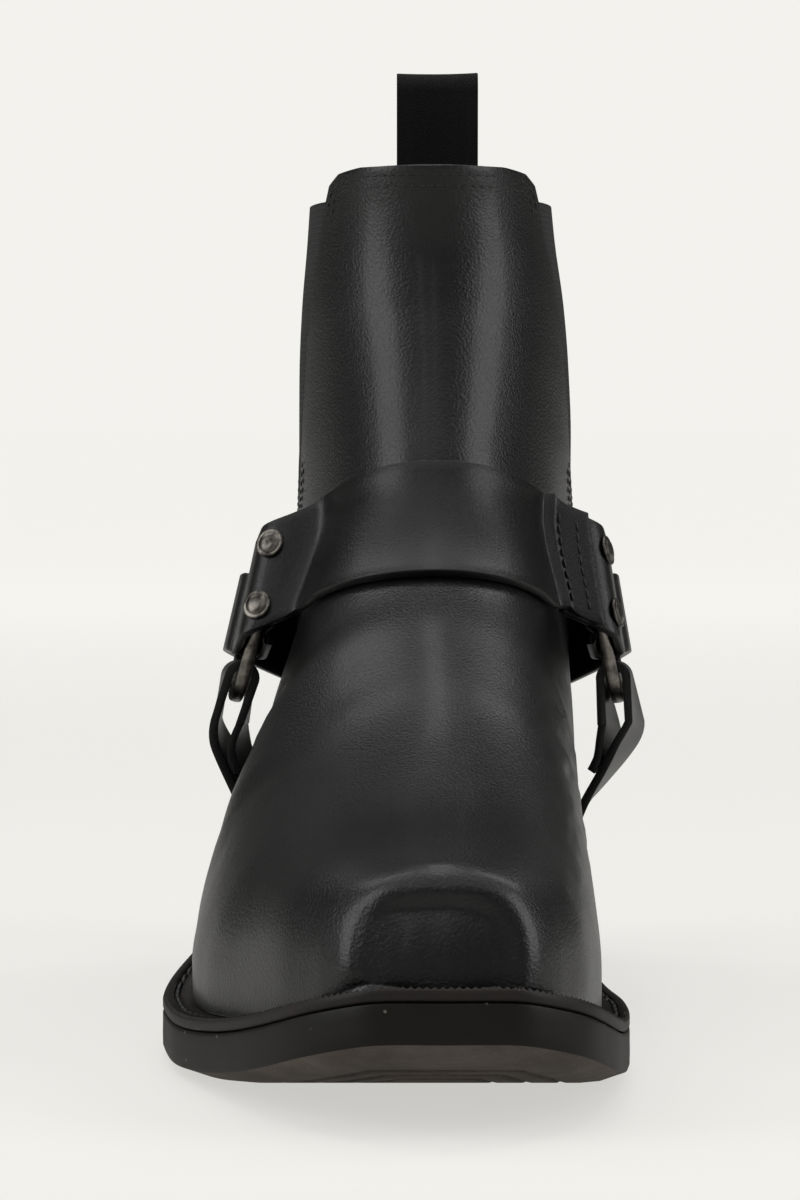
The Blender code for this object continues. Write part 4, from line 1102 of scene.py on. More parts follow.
def liningLeather():
    # undyed pigskin lining and sock: matt, finely pitted, darker where it is handled
    material, tree, shader = newMaterial("pigskin_lining", {"IOR": 1.5})
    place = addNode(tree, "TexCoord")
    stains = addNode(
        tree, "TexNoise", sockets={"Scale": 1 / 0.03, "Detail": 4.0}, links={"Vector": (place, "Object")}
    )
    pits = addNode(
        tree, "TexVoronoi", sockets={"Scale": 1 / (1.4 * millimetre)}, links={"Vector": (place, "Object")}
    )
    blendColours(tree, shader, stains, "Fac", "#4A3B2C", "#6A563F")
    varyRoughness(tree, shader, stains, "Fac", 0.62, 0.8)
    stackBumps(tree, shader, [(pits, "Distance", 0.4, 0.08 * millimetre)])
    return material


lining = liningLeather()


def elasticWebbing():
    # covered rubber cords woven flat: rounded ribs 1.5 mm apart that run across the gore, matt
    material, tree, shader = newMaterial(
        "ribbed_elastic", {"IOR": 1.42, "Sheen Weight": 0.06, "Sheen Roughness": 0.5}
    )
    place = addNode(tree, "TexCoord")
    split = addNode(tree, "SeparateXYZ", links={"Vector": (place, "Object")})
    turn = addNode(
        tree, "Math", {"operation": "MULTIPLY"}, {1: 2 * math.pi / (1.5 * millimetre)}, {0: (split, "Z")}
    )
    ribs = addNode(tree, "Math", {"operation": "SINE"}, links={0: (turn, "Value")})
    across = addNode(
        tree, "Math", {"operation": "MULTIPLY"}, {1: 2 * math.pi / (0.9 * millimetre)}, {0: (split, "Y")}
    )
    picks = addNode(tree, "Math", {"operation": "SINE"}, links={0: (across, "Value")})
    knit = addNode(tree, "Math", {"operation": "MULTIPLY"}, links={0: (ribs, "Value"), 1: (picks, "Value")})
    fuzz = addNode(
        tree,
        "TexNoise",
        sockets={"Scale": 1 / (0.5 * millimetre), "Detail": 3.0},
        links={"Vector": (place, "Object")},
    )
    # painted shade: the colour follows the rib wave of the bump, darker in the grooves between the ribs and
    # lighter on their crests
    blendColours(tree, shader, ribs, "Value", "#050506", "#141415", 0.1, 0.9)
    varyRoughness(tree, shader, fuzz, "Fac", 0.7, 0.9)
    stackBumps(
        tree, shader,
        [
            (ribs, "Value", 0.9, 0.22 * millimetre),
            (knit, "Value", 0.5, 0.08 * millimetre),
            (fuzz, "Fac", 0.3, 0.05 * millimetre),
        ],
    )
    return material


elastic = elasticWebbing()


def wovenTape():
    # polyester pull tape: a close herringbone, matt black with a slight sheen
    material, tree, shader = newMaterial(
        "polyester_tape",
        {"IOR": 1.40, "Specular IOR Level": 0.25, "Sheen Weight": 0.03, "Sheen Roughness": 0.4},
    )
    place = addNode(tree, "TexCoord")
    split = addNode(tree, "SeparateXYZ", links={"Vector": (place, "Object")})
    fold = addNode(tree, "Math", {"operation": "PINGPONG"}, {1: 2.4 * millimetre}, {0: (split, "X")})
    slope = addNode(tree, "Math", {"operation": "ADD"}, links={0: (split, "Z"), 1: (fold, "Value")})
    turn = addNode(
        tree,
        "Math",
        {"operation": "MULTIPLY"},
        {1: 2 * math.pi / (0.85 * millimetre)},
        {0: (slope, "Value")},
    )
    twill = addNode(tree, "Math", {"operation": "SINE"}, links={0: (turn, "Value")})
    fuzz = addNode(
        tree,
        "TexNoise",
        sockets={"Scale": 1 / (0.35 * millimetre), "Detail": 3.0},
        links={"Vector": (place, "Object")},
    )
    # painted shade: the colour follows the twill wave of the bump, darker in its valleys and lighter on its
    # ridges
    blendColours(tree, shader, twill, "Value", "#030303", "#0A0A0A", 0.1, 0.9)
    varyRoughness(tree, shader, fuzz, "Fac", 0.62, 0.85)
    stackBumps(
        tree, shader, [(twill, "Value", 0.7, 0.12 * millimetre), (fuzz, "Fac", 0.4, 0.05 * millimetre)]
    )
    return material


tape = wovenTape()


def soleRubber(name, look):
    # vulcanised sole rubber: brown-black, matt, faint mould stipple, pale dust on its high places
    material, tree, shader = newMaterial(name, {"IOR": 1.52, "Specular IOR Level": look["shine"]})
    place = addNode(tree, "TexCoord")
    where = (place, "Object")
    clouds = addNode(
        tree,
        "TexNoise",
        sockets={"Scale": 1 / 0.02, "Detail": 5.0, "Roughness": 0.65},
        links={"Vector": where},
    )
    stipple = addNode(
        tree, "TexNoise", sockets={"Scale": 1 / look["stipple"], "Detail": 2.0}, links={"Vector": where}
    )
    specks = addNode(tree, "TexVoronoi", sockets={"Scale": 1 / (5.5 * millimetre)}, links={"Vector": where})
    ramp = blendColours(tree, shader, clouds, "Fac", look["dark"], look["light"])
    dust = addNode(
        tree,
        "MapRange",
        sockets={"From Min": 0.05, "From Max": 0.075, "To Min": 0.55, "To Max": 0.0},
        links={"Value": (specks, "Distance")},
    )
    worn = addNode(
        tree,
        "Mix",
        {"data_type": "RGBA"},
        {7: toLinear("#8B8378")},
        {0: (dust, "Result"), 6: (ramp, "Color")},
    )
    tree.links.new(worn.outputs[2], shader.inputs["Base Color"])
    varyRoughness(tree, shader, clouds, "Fac", look["roughLow"], look["roughHigh"])
    stackBumps(
        tree,
        shader,
        [
            (clouds, "Fac", 0.2, 0.2 * millimetre),
            (stipple, "Fac", look["stippleStrength"], look["stippleHeight"]),
        ],
    )
    return material


wallLook = dict(
    dark="#0C0A09",
    light="#14110F",
    stipple=0.5 * millimetre,
    stippleStrength=0.25,
    stippleHeight=0.08 * millimetre,
    roughLow=0.42,
    roughHigh=0.58,
    shine=0.25,
)
rimLook = dict(
    dark="#3A332E",
    light="#6A6057",
    stipple=0.75 * millimetre,
    stippleStrength=0.9,
    stippleHeight=0.35 * millimetre,
    roughLow=0.6,
    roughHigh=0.8,
    shine=0.4,
)
weltLook = dict(wallLook, dark="#1A1614", light="#2A2522")
wallRubber = soleRubber("sole_rubber_wall", wallLook)
rimRubber = soleRubber("sole_rubber_stippled", rimLook)
weltRubber = soleRubber("welt_rubber", weltLook)
heelRubber = soleRubber("heel_rubber", dict(wallLook, dark="#171311", light="#241E1B"))


def waxedThread():
    # waxed polyester cord: two plies, slightly shiny
    material, tree, shader = newMaterial("waxed_thread", {"IOR": 1.5, "Roughness": 0.45})
    place = addNode(tree, "TexCoord")
    plies = addNode(
        tree,
        "TexNoise",
        sockets={"Scale": 1 / (0.5 * millimetre), "Detail": 2.0},
        links={"Vector": (place, "Object")},
    )
    blendColours(tree, shader, plies, "Fac", "#070707", "#161616")
    stackBumps(tree, shader, [(plies, "Fac", 0.5, 0.06 * millimetre)])
    return material


thread = waxedThread()


def antiqueNickel(name, dark, light):
    # nickel plate, blackened and rubbed back: bright on high places, smoky in the hollows
    material, tree, shader = newMaterial(name, {"Metallic": 1.0})
    place = addNode(tree, "TexCoord")
    smoke = addNode(
        tree,
        "TexNoise",
        sockets={"Scale": 1 / (4 * millimetre), "Detail": 5.0, "Roughness": 0.65},
        links={"Vector": (place, "Object")},
    )
    scratches = addNode(
        tree,
        "TexNoise",
        sockets={"Scale": 1 / (0.4 * millimetre), "Detail": 3.0},
        links={"Vector": (place, "Object")},
    )
    blendColours(tree, shader, smoke, "Fac", dark, light, 0.35, 0.62)
    varyRoughness(tree, shader, smoke, "Fac", 0.42, 0.2)
    stackBumps(tree, shader, [(scratches, "Fac", 0.25, 0.03 * millimetre)])
    return material


nickel = antiqueNickel("antique_nickel", "#4A4743", "#9C978F")
rivetNickel = antiqueNickel("blackened_nickel", "#2E2C2A", "#78746E")
print("materials made")


# Sole


def edgeSamples():
    # row numbers round one side, close enough together to read as a smooth line
    coarse = [0.0, 0.6, 1.0, 1.35, 1.7, 2.0, 2.35, 2.7, 3.0, 3.5]
    coarse += [4.0 + 0.5 * step for step in range(24)] + [16.0, 16.4, 16.75, 17.0]
    fine = []
    for low, high in zip(coarse, coarse[1:]):
        fine += [mix(low, high, step / soleSize["edgeSplit"]) for step in range(soleSize["edgeSplit"])]
    return fine + [17.0]


def evenLoop(loop, count):
    # the same closed line with its points evenly spaced
    ring = [Vector(point) for point in loop] + [Vector(loop[0])]
    reach = [0.0]
    for a, b in zip(ring, ring[1:]):
        reach.append(reach[-1] + (b - a).length)
    spaced, index = [], 0
    for step in range(count):
        wanted = reach[-1] * step / count
        while reach[index + 1] < wanted:
            index += 1
        share = (wanted - reach[index]) / max(reach[index + 1] - reach[index], 1e-9)
        spaced.append(ring[index].lerp(ring[index + 1], share))
    return spaced


def makeOutsole():
    # bevelled tread edge, stippled rim, and a wall that is rounded under the welt
    wallTop, shoulder = -gaps["seat"] - weltSize["thickness"], 0.0062
    loops = [
        atHeight(edgeLoop(0.0008, 0.0, soleSize["rimBevel"]), treadHeight),
        atHeight(edgeLoop(0.0006, 0.0, soleSize["rimBevel"] * 0.55), treadHeight, 0.0004),
        atHeight(edgeLoop(0.0009, 0.0, 0.0012), rimHeight, -0.0004),
        atHeight(edgeLoop(0.0003), rimHeight, 0.0002),
        atHeight(edgeLoop(), rimHeight, 0.0010),
        atHeight(edgeLoop(-0.00005), rimHeight, 0.0035),
        atHeight(edgeLoop(), weltTop, -shoulder),
        atHeight(edgeLoop(), weltTop, wallTop - 0.0010),
        atHeight(edgeLoop(0.0002), weltTop, wallTop - 0.0003),
        atHeight(edgeLoop(0.0007), weltTop, wallTop),
    ]
    sole = solid("outsole_dressed", *loft(loops), wallRubber, sharp=50)
    sole.data.materials.append(rimRubber)
    count = len(loops[0])
    for index, face in enumerate(sole.data.polygons):
        if index < 2 * count or face.normal.z < -0.7:
            face.material_index = 1
    for ring in range(treadSize["rings"]):
        inset = treadSize["edge"] + ring * treadSize["pitch"]
        points, faces = [], []
        depth = treadSize["grooveDepth"]
        for reach, height in ((0.0, depth), (0.0, -0.004), (1.0, -0.004), (1.0, depth)):
            for x, station in treadLoop(inset + reach * treadSize["grooveWidth"]):
                points.append((x, yOf(station), treadHeight(station) + height))
        around = len(points) // 4
        for band in range(4):
            here, there = band * around, (band + 1) % 4 * around
            for step in range(around):
                after = (step + 1) % around
                faces.append([here + step, here + after, there + after, there + step])
        cutter = solid("treadGroove" + str(ring + 1), points, faces, rimRubber)
        boolean(sole, cutter, "DIFFERENCE")
        bakeModifiers(sole)
        bpy.data.objects.remove(cutter)
    return dress(sole, "sole_rubber", "outsole")


makeOutsole()
print("outsole made")

weltDetail = dict(
    ribs=420,
    ribHeight=0.00028,
    grooveAt=0.52,
    grooveDepth=0.0009,
    stitchPitch=0.0062,
    threadRadius=0.00062,
)


def weltShares(look):
    # across the ledge, from its outer edge (0) to the upper (1): share and drop
    groove = look["grooveAt"]
    return [
        (0.04, 0.0003, 0.3),
        (0.10, 0.0, 1.0),
        (0.24, 0.0, 1.0),
        (groove - 0.13, 0.0, 1.0),
        (groove - 0.08, look["grooveDepth"], 0.0),
        (groove + 0.08, look["grooveDepth"], 0.0),
        (groove + 0.13, 0.0, 1.0),
        (0.80, 0.0, 0.8),
        (1.0, 0.0, 0.2),
    ]


def makeWelt(look):
    # ribbed strip with a stitch groove; its inner edge passes under the upper
    count = look["ribs"] * 4
    bottoms = [
        (edgeLoop(0.0004), -weltSize["thickness"]),
        (edgeLoop(), 0.0005 - weltSize["thickness"]),
        (edgeLoop(), -0.0007),
    ]
    loops = []
    for loop, lift in bottoms:
        loops.append([(x, yOf(station), weltTop(station) + lift) for x, station in evenLoop(loop, count)])
    outer = evenLoop(edgeLoop(), count)
    inner = evenLoop(edgeLoop(0.0, 1.0), count)
    for share, drop, ribbing in weltShares(look):
        ring = []
        for step, (a, b) in enumerate(zip(outer, inner)):
            x, station = a.lerp(b, share)
            rise = look["ribHeight"] * ribbing * math.cos(math.pi * step / 2) if step % 2 == 0 else 0.0
            ring.append((x, yOf(station), weltTop(station) - drop + rise))
        loops.append(ring)
    deep = evenLoop(edgeLoop(upperSize["leather"] + insoleSize["play"] - gaps["seat"], 1.0), count)
    loops.append([(x, yOf(station), weltTop(station)) for x, station in deep])
    loops.append([(x, yOf(station), weltTop(station) - weltSize["thickness"]) for x, station in deep])
    points, faces = loft(loops, closedEnds=False)
    last = (len(loops) - 1) * count
    for index in range(count):
        after = (index + 1) % count
        faces.append([last + index, last + after, after, index])
    welt = solid("welt_dressed", points, faces, weltRubber, merge=False, sharp=50)
    dress(welt, "sole_rubber", "welt")
    line = [a.lerp(b, look["grooveAt"]) for a, b in zip(outer, inner)]
    return [Vector((x, yOf(station), weltTop(station) - look["grooveDepth"] * 0.45)) for x, station in line]


def stitchShape(radius, length, plump=0.3, sides=6):
    # a short thread that dips at both ends, along local x
    points, faces = [], []
    profile = [
        (-0.5, 0.25, -1.0),
        (-0.42, 0.85, -0.35),
        (-0.2, 1.0, plump),
        (0.2, 1.0, plump),
        (0.42, 0.85, -0.35),
        (0.5, 0.25, -1.0),
    ]
    for along, thick, lift in profile:
        for side in range(sides):
            turn = 2 * math.pi * side / sides
            points.append(
                Vector(
                    (
                        along * length,
                        radius * thick * math.cos(turn),
                        radius * (thick * math.sin(turn) * 0.8 + lift),
                    )
                )
            )
    for ring in range(len(profile) - 1):
        for side in range(sides):
            a, b = ring * sides + side, ring * sides + (side + 1) % sides
            faces.append([a, b, b + sides, a + sides])
    faces.append(list(range(sides))[::-1])
    faces.append([(len(profile) - 1) * sides + side for side in range(sides)])
    return points, faces


def walk(points, normals, pitch):
    # evenly spaced places on a line with their directions
    places, carried = [], pitch / 2
    for index in range(len(points) - 1):
        a, b = points[index], points[index + 1]
        length = (b - a).length
        while carried < length and length > 1e-9:
            share = carried / length
            places.append(
                (
                    a.lerp(b, share),
                    (b - a).normalized(),
                    normals[index].lerp(normals[index + 1], share).normalized(),
                )
            )
            carried += pitch
        carried -= length
    return places


def sewStitches(name, lines, pitch, length, radius, slot="black_leather"):
    # all stitches of several lines as one piece; lines hold (points, normals)
    shapePoints, shapeFaces = stitchShape(radius, length)
    points, faces = [], []
    for linePoints, lineNormals in lines:
        for place, along, normal in walk(linePoints, lineNormals, pitch):
            across = normal.cross(along).normalized()
            up = along.cross(across).normalized()
            start = len(points)
            tilt = random.uniform(-0.06, 0.06)
            turned = (along + across * tilt).normalized()
            for point in shapePoints:
                points.append(place + turned * point.x + across * point.y + up * point.z)
            faces += [[start + index for index in face] for face in shapeFaces]
    piece = solid(name, points, faces, thread, merge=False, sharp=80)
    return dress(piece, slot)


weltLine = makeWelt(weltDetail)
upright = [Vector((0, 0, 1))] * (len(weltLine) + 1)
sewStitches(
    "welt_stitching",
    [(weltLine + weltLine[:1], upright)],
    weltDetail["stitchPitch"],
    0.0056,
    weltDetail["threadRadius"],
    "sole_rubber",
)
print("welt made")

heelLook = dict(
    steps=120, breastSteps=20, edge=0.0007, lines=(0.0115, 0.0195), lineDepth=0.00025, lineHeight=0.0004
)


def heelLoop(inset, height):
    # the heel's outline at one height: round the back, then along a slightly hollow breast
    breast, half = soleSize["length"] - heelSize["length"] + inset, heelLook["steps"] // 2
    starts = {}
    for side in (1, -1):
        low, high = 10.0, 16.0
        for _ in range(40):
            middle = (low + high) / 2
            if edgePoint(side, middle, inset).y < breast:
                low = middle
            else:
                high = middle
        starts[side] = low
    around = []
    for side, steps in ((1, range(half + 1)), (-1, range(half - 1, -1, -1))):
        for step in steps:
            share = math.sin(math.pi / 2 * step / half)
            around.append(edgePoint(side, mix(starts[side], lastRow, share), inset))
    first, last = around[0], around[-1]
    for step in range(1, heelLook["breastSteps"]):
        share = step / heelLook["breastSteps"]
        point = last.lerp(first, share)
        around.append(Vector((point.x, point.y + heelSize["breastHollow"] * math.sin(math.pi * share))))
    return [(x, yOf(station), height) for x, station in around]


def makeHeelPiece(node, bottom, top, madeOf, look):
    # tapered block with rounded rims; fine lines part the layers it is stacked from
    def insetAt(height):
        return 0.0006 + heelSize["taper"] * (1 - height / heelSize["height"])

    edge = look["edge"]
    levels = [(bottom, edge), (bottom + edge * 0.3, edge * 0.3), (bottom + edge, 0.0)]
    for line in look["lines"]:
        if bottom + 0.002 < line < top - 0.002:
            wide = look["lineHeight"]
            levels += [(line - wide, 0.0), (line, look["lineDepth"]), (line + wide, 0.0)]
    levels += [(top - edge, 0.0), (top - edge * 0.3, edge * 0.3), (top, edge)]
    loops = [heelLoop(insetAt(height) + inset, height) for height, inset in levels]
    points, faces = loft(loops, closedEnds=False)
    count = len(loops[0])
    faces.append(list(range(count))[::-1])
    faces.append([count * (len(loops) - 1) + index for index in range(count)])
    return dress(
        solid(node + "_dressed", points, faces, madeOf, sharp=50),
        "heel_stack" if node == "heel" else "heel_rubber",
        node,
    )


for node, madeOf in (("heel", heelRubber), ("heel_lift", rimRubber)):
    low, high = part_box(node)
    makeHeelPiece(node, low[2], high[2], madeOf, heelLook)
print("heel made")


def makeInsole():
    # leather sock, slightly crowned
    loops = []
    for inset, lift in ((0.0, -weltSize["thickness"]), (0.0, 0.0), (0.0006, 0.0014), (0.004, 0.0017)):
        loops.append(
            atHeight(edgeLoop(upperSize["leather"] + insoleSize["play"] + inset, 1.0), weltTop, lift)
        )
    return dress(solid("insole_sock", *loft(loops), lining), "insole_board", "insole")


makeInsole()


# Upper

creaseLook = dict(
    # y, z of the middle, half length, slope, half width, depth; side 1 is the inner side, -1 the outer
    lines=(
        (1, -0.150, 0.062, 0.020, -0.55, 0.0022, 0.00055),
        (1, -0.141, 0.070, 0.020, -0.60, 0.0024, 0.00060),
        (1, -0.158, 0.052, 0.017, -0.50, 0.0020, 0.00040),
        (1, -0.131, 0.078, 0.016, -0.65, 0.0022, 0.00045),
        (1, -0.120, 0.064, 0.017, -0.80, 0.0026, 0.00050),
        (-1, -0.146, 0.060, 0.024, -0.60, 0.0030, 0.00045),
        (-1, -0.128, 0.072, 0.022, -0.70, 0.0028, 0.00040),
        (-1, -0.112, 0.058, 0.020, -0.90, 0.0034, 0.00050),
        (1, -0.098, 0.112, 0.016, -0.35, 0.0030, 0.00045),
        (-1, -0.098, 0.118, 0.016, -0.35, 0.0030, 0.00040),
    ),
    swell=0.00035,
    swellSize=0.028,
    fineWrinkle=0.00010,
)


toeLook = dict(
    centre=-0.0020,
    half=0.0205,
    top=0.0530,
    foot=0.0235,
    reach=0.026,
    depth=0.0017,
    ridge=0.0003,
    edge=0.34,
    square=3.2,
)


def toeFace(point):
    # the flattened front of the toe: a shallow face with a soft shoulder round it
    look = toeLook
    middle, tall = (look["top"] + look["foot"]) / 2, (look["top"] - look["foot"]) / 2
    square = look["square"]
    out = (abs(point.x - look["centre"]) / look["half"]) ** square
    out += (max(point.z - middle, 0) / tall) ** square
    away = out ** (1 / square)
    fade = smooth((yOf(0) + look["reach"] - point.y) / 0.010)
    face = smooth((1.0 - away) / look["edge"])
    ridge = math.exp(-(((away - 1.12) / 0.18) ** 2))
    return fade * (look["ridge"] * ridge - look["depth"] * face)


def relief(point, side):
    # soft troughs at listed places, broad swell and fine wrinkles over the vamp's inner side
    look = creaseLook
    lift = look["swell"] * noise.noise(point / look["swellSize"])
    for creaseSide, y, z, reach, slope, width, depth in look["lines"]:
        if creaseSide * side < 0:
            continue
        away, up = point.y - y, point.z - z
        size = math.hypot(1.0, slope)
        along = (away + slope * up) / size
        across = (up - slope * away) / size + 0.0012 * math.sin(along * 260)
        fade = max(0.0, 1 - (along / reach) ** 2)
        trough = math.exp(-((across / width) ** 2))
        ridge = math.exp(-(((across - 2.1 * width) / (1.3 * width)) ** 2))
        lift += fade * depth * (0.55 * ridge - trough)
    lift += toeFace(point)
    vamp = (
        smooth((point.z - 0.036) / 0.02)
        * smooth((0.098 - point.z) / 0.02)
        * smooth((point.x * side - 0.012) / 0.014)
    )
    if point.y < -0.09 and vamp > 0:
        ripple = noise.noise(Vector((point.x * 60, point.y * 120, point.z * 420)))
        lift += look["fineWrinkle"] * (2.2 if side > 0 else 1.0) * vamp * ripple
    return lift


def fineSteps(low, high, count):
    return [mix(low, high, step / count) for step in range(count)]


def shellMesh(name, stepsAt, stepsRound, outside, inside, madeOf, inner, relieved):
    # the upper between two depths; the outer face carries the relief
    columns = len(stepsRound)
    outer = [[shellPoint(at, share, outside) for share in stepsRound] for at in stepsAt]
    under = [[shellPoint(at, share, inside) for share in stepsRound] for at in stepsAt]
    if relieved:
        for row, at in enumerate(stepsAt):
            for column, share in enumerate(stepsRound):
                point = outer[row][column]
                deep = point - under[row][column]
                if deep.length < 1e-6:
                    continue
                edge = smooth((1 - abs(share)) / 0.06) if at < heelBack else 1.0
                lift = deep.normalized() * relief(point, 1 if share > 0 else -1) * edge * smooth(at / 1.5)
                outer[row][column] = point + lift
                under[row][column] = under[row][column] + lift
    points = [point for row in outer + under for point in row]
    sheet = len(stepsAt) * columns
    faces = []
    for row in range(len(stepsAt) - 1):
        for column in range(columns - 1):
            a = row * columns + column
            faces.append([a, a + 1, a + columns + 1, a + columns])
            faces.append([sheet + a, sheet + a + columns, sheet + a + columns + 1, sheet + a + 1])
        for column in (0, columns - 1):
            if stepsAt[row] >= heelBack:
                continue
            a = row * columns + column
            face = [a, a + columns, sheet + a + columns, sheet + a]
            faces.append(face if column else face[::-1])
    rims = [len(stepsAt) - 1] + ([0] if stepsAt[0] >= heelBack else [])
    for row in rims:
        for column in range(columns - 1):
            a = row * columns + column
            faces.append([a, a + 1, sheet + a + 1, sheet + a])
    piece = solid(name, points, faces, madeOf)
    piece.data.materials.append(inner)
    middle = Vector((-0.001, yOf(0.2), 0.12))
    for face in piece.data.polygons:
        centre = face.center
        axis = (
            Vector((centre.x, centre.y - middle.y, 0))
            if centre.z > 0.11
            else Vector((centre.x + 0.004, 0, centre.z - 0.045))
        )
        if face.normal.dot(axis) < 0 and centre.z > 0.1:
            face.material_index = 1
    return piece, outer


upperGrid = dict(toe=44, foot=84, shaft=60, half=52)


def makeUpper(look):
    stepsAt = fineSteps(0.0, 4.0, look["toe"]) + fineSteps(4.0, float(heelBack), look["foot"])
    stepsAt += fineSteps(float(heelBack), float(collarRow), look["shaft"]) + [float(collarRow)]
    half = [
        math.sin(math.pi / 2 * (step / look["half"])) * 0.45 + 0.55 * step / look["half"]
        for step in range(look["half"] + 1)
    ]
    stepsRound = [-share for share in half[:0:-1]] + half
    return shellMesh(
        "upper_leather", stepsAt, stepsRound, 0.0, -upperSize["leather"], calfLeather, lining, True
    )


upper, outerRows = makeUpper(upperGrid)
rowCount, columnCount = len(outerRows), len(outerRows[0])
flatPoints = [point for row in outerRows for point in row]
quads = [
    [r * columnCount + c, r * columnCount + c + 1, (r + 1) * columnCount + c + 1, (r + 1) * columnCount + c]
    for r in range(rowCount - 1)
    for c in range(columnCount - 1)
]
skin = BVHTree.FromPolygons(flatPoints, quads)
print("upper made")


def onSkin(origin, way):
    # the place where a ray meets the upper's outer face, with the normal that looks outwards
    place, normal, _, _ = skin.ray_cast(origin, way)
    if place is None:
        return None
    return place, normal if normal.dot(way) < 0 else -normal


def makeGore(side):
    name = "medial" if side > 0 else "lateral"
    reach = (side * 0.1 * upperSize["shaftWidth"], side * upperSize["shaftWidth"])
    window = prism("window_" + name, windowOutline(0.0, True), *reach)
    boolean(upper, window, "DIFFERENCE")
    bakeModifiers(upper)
    bpy.data.objects.remove(window)
    stepsAt = fineSteps(float(heelBack), float(collarRow), 40) + [float(collarRow)]
    stepsRound = [side * step / 60 for step in range(6, 61)][::side]
    face, back = -goreSize["sunk"], -goreSize["sunk"] - goreSize["thickness"]
    gore, _ = shellMesh("elastic_" + name, stepsAt, stepsRound, face, back, elastic, elastic, False)
    shape = prism("goreShape" + name, windowOutline(gaps["seat"], False), *reach)
    boolean(gore, shape, "INTERSECT")
    bakeModifiers(gore)
    bpy.data.objects.remove(shape)
    gore.data.shade_smooth()
    gore.data.set_sharp_from_angle(angle=math.radians(50))
    return dress(gore, "elastic", "gore_" + name)


for side in (-1, 1):
    makeGore(side)
soften(upper, 0.0005, 2, 50)
dress(upper, "black_leather", "upper")
print("gores made")


def panelEdge(side, inset, front):
    # a line on the leather beside a window, set in from its edge, on the front or the back panel
    middle = windowMiddle()
    outline = [(y - middle, z) for y, z in windowOutline(0.0, True)]
    half = outline[len(outline) // 2 :]
    half = [Vector(point) for point in half if point[1] <= upperSize["collarHeight"] + 1e-4]
    line = []
    for index, point in enumerate(half):
        before, after = half[max(index - 1, 0)], half[min(index + 1, len(half) - 1)]
        along = (after - before).normalized()
        line.append(point + Vector((along.y, -along.x)) * inset)
    points, normals = [], []
    for out, z in line:
        if z > upperSize["collarHeight"] - inset * 0.98:
            continue
        y = middle - out if front else middle + out
        hit = onSkin(Vector((side * 0.12, y, z)), Vector((-side, 0, 0)))
        if hit:
            points.append(hit[0])
            normals.append(hit[1])
    return points, normals


# the middle of the collar seen from above, x and y
collarMiddle = (0.001, yOf(upperSize["collarFront"] * soleSize["length"] + 0.5 * upperSize["shaftDepth"]))


def collarLine(inset, low, high, count):
    # round the collar between two directions seen from above, in degrees from the front
    middle = Vector((*collarMiddle, upperSize["collarHeight"] - inset))
    points, normals = [], []
    for step in range(count + 1):
        turn = math.radians(mix(low, high, step / count))
        way = Vector((math.sin(turn), -math.cos(turn), 0))
        hit = onSkin(middle + way * 0.12, -way)
        if hit:
            points.append(hit[0])
            normals.append(hit[1])
    return points, normals


def refine(points, normals, size):
    # more points on a line, so stitches follow its curve
    finePoints, fineNormals = [], []
    for index in range(len(points) - 1):
        count = max(1, int((points[index + 1] - points[index]).length / size))
        for step in range(count):
            share = step / count
            finePoints.append(points[index].lerp(points[index + 1], share))
            fineNormals.append(normals[index].lerp(normals[index + 1], share).normalized())
    return finePoints + points[-1:], fineNormals + normals[-1:]


def fromFront(point):
    # direction of a place on the collar, in degrees from the front
    return math.degrees(math.atan2(point.x - collarMiddle[0], collarMiddle[1] - point.y))


seamLook = dict(insets=(0.0022, 0.0050), pitch=0.0026, stitch=0.0021, thread=0.00024, clear=1.5)
seams = []
for inset in seamLook["insets"]:
    for front in (True, False):
        for side in (-1, 1):
            seams.append(panelEdge(side, inset, front))
    left, right = (fromFront(line[0][-1]) for line in seams[-4:-2])
    seams.append(collarLine(inset, left + seamLook["clear"], right - seamLook["clear"], 60))
    left, right = (fromFront(line[0][-1]) for line in seams[-3:-1])
    seams.append(collarLine(inset, right + seamLook["clear"], 360 + left - seamLook["clear"], 60))
sewStitches(
    "panel_stitching",
    [refine(*line, 0.002) for line in seams if len(line[0]) > 1],
    seamLook["pitch"],
    seamLook["stitch"],
    seamLook["thread"],
)
print("upper sewn")


# Harness


def dressStrap(node, slot, edge=0.0005):
    piece = bpy.data.objects[node + "_dressed"]
    soften(piece, edge, 2, 50)
    return dress(piece, slot, node)


makeInstepStrap(strapLeather)
makeRingTab(strapLeather)
makeHeelStrap(strapLeather)
makePullLoop(tape)
for side in (-1, 1):
    makeRing(side, nickel)
    makeShankStrap(side, strapLeather)
for node in ("instep_strap", "ring_tab_medial", "heel_strap", "shank_strap_lateral", "shank_strap_medial"):
    dressStrap(node, "strap_leather")
dressStrap("pull_loop", "webbing", 0.0003)
for name in ("ring_lateral", "ring_medial"):
    dress(bpy.data.objects[name + "_dressed"], "antique_nickel", name)
print("harness made")


rivetLook = dict(
    steps=32,
    profile=(
        (1.0, 0.0),
        (1.0, 0.25),
        (0.96, 0.42),
        (0.86, 0.46),
        (0.80, 0.40),
        (0.74, 0.50),
        (0.6, 0.80),
        (0.4, 0.95),
        (0.2, 1.0),
    ),
)


def makeRivet(name, seat, normal):
    # a domed head with a rolled rim
    side = normal.orthogonal().normalized()
    other = normal.cross(side)
    steps, profile = rivetLook["steps"], rivetLook["profile"]
    points, faces = [], []
    for spread, rise in profile:
        for step in range(steps):
            turn = 2 * math.pi * step / steps
            spoke = side * math.cos(turn) + other * math.sin(turn)
            points.append(
                seat + normal * rivetSize["height"] * (1.15 * rise) + spoke * rivetSize["radius"] * spread
            )
    for ring in range(len(profile) - 1):
        for step in range(steps):
            a, b = ring * steps + step, ring * steps + (step + 1) % steps
            faces.append([a, b, b + steps, a + steps])
    faces.append(list(range(steps))[::-1])
    faces.append(list(range((len(profile) - 1) * steps, len(profile) * steps)))
    return dress(solid(name + "_head", points, faces, rivetNickel, sharp=50), "antique_nickel", name)


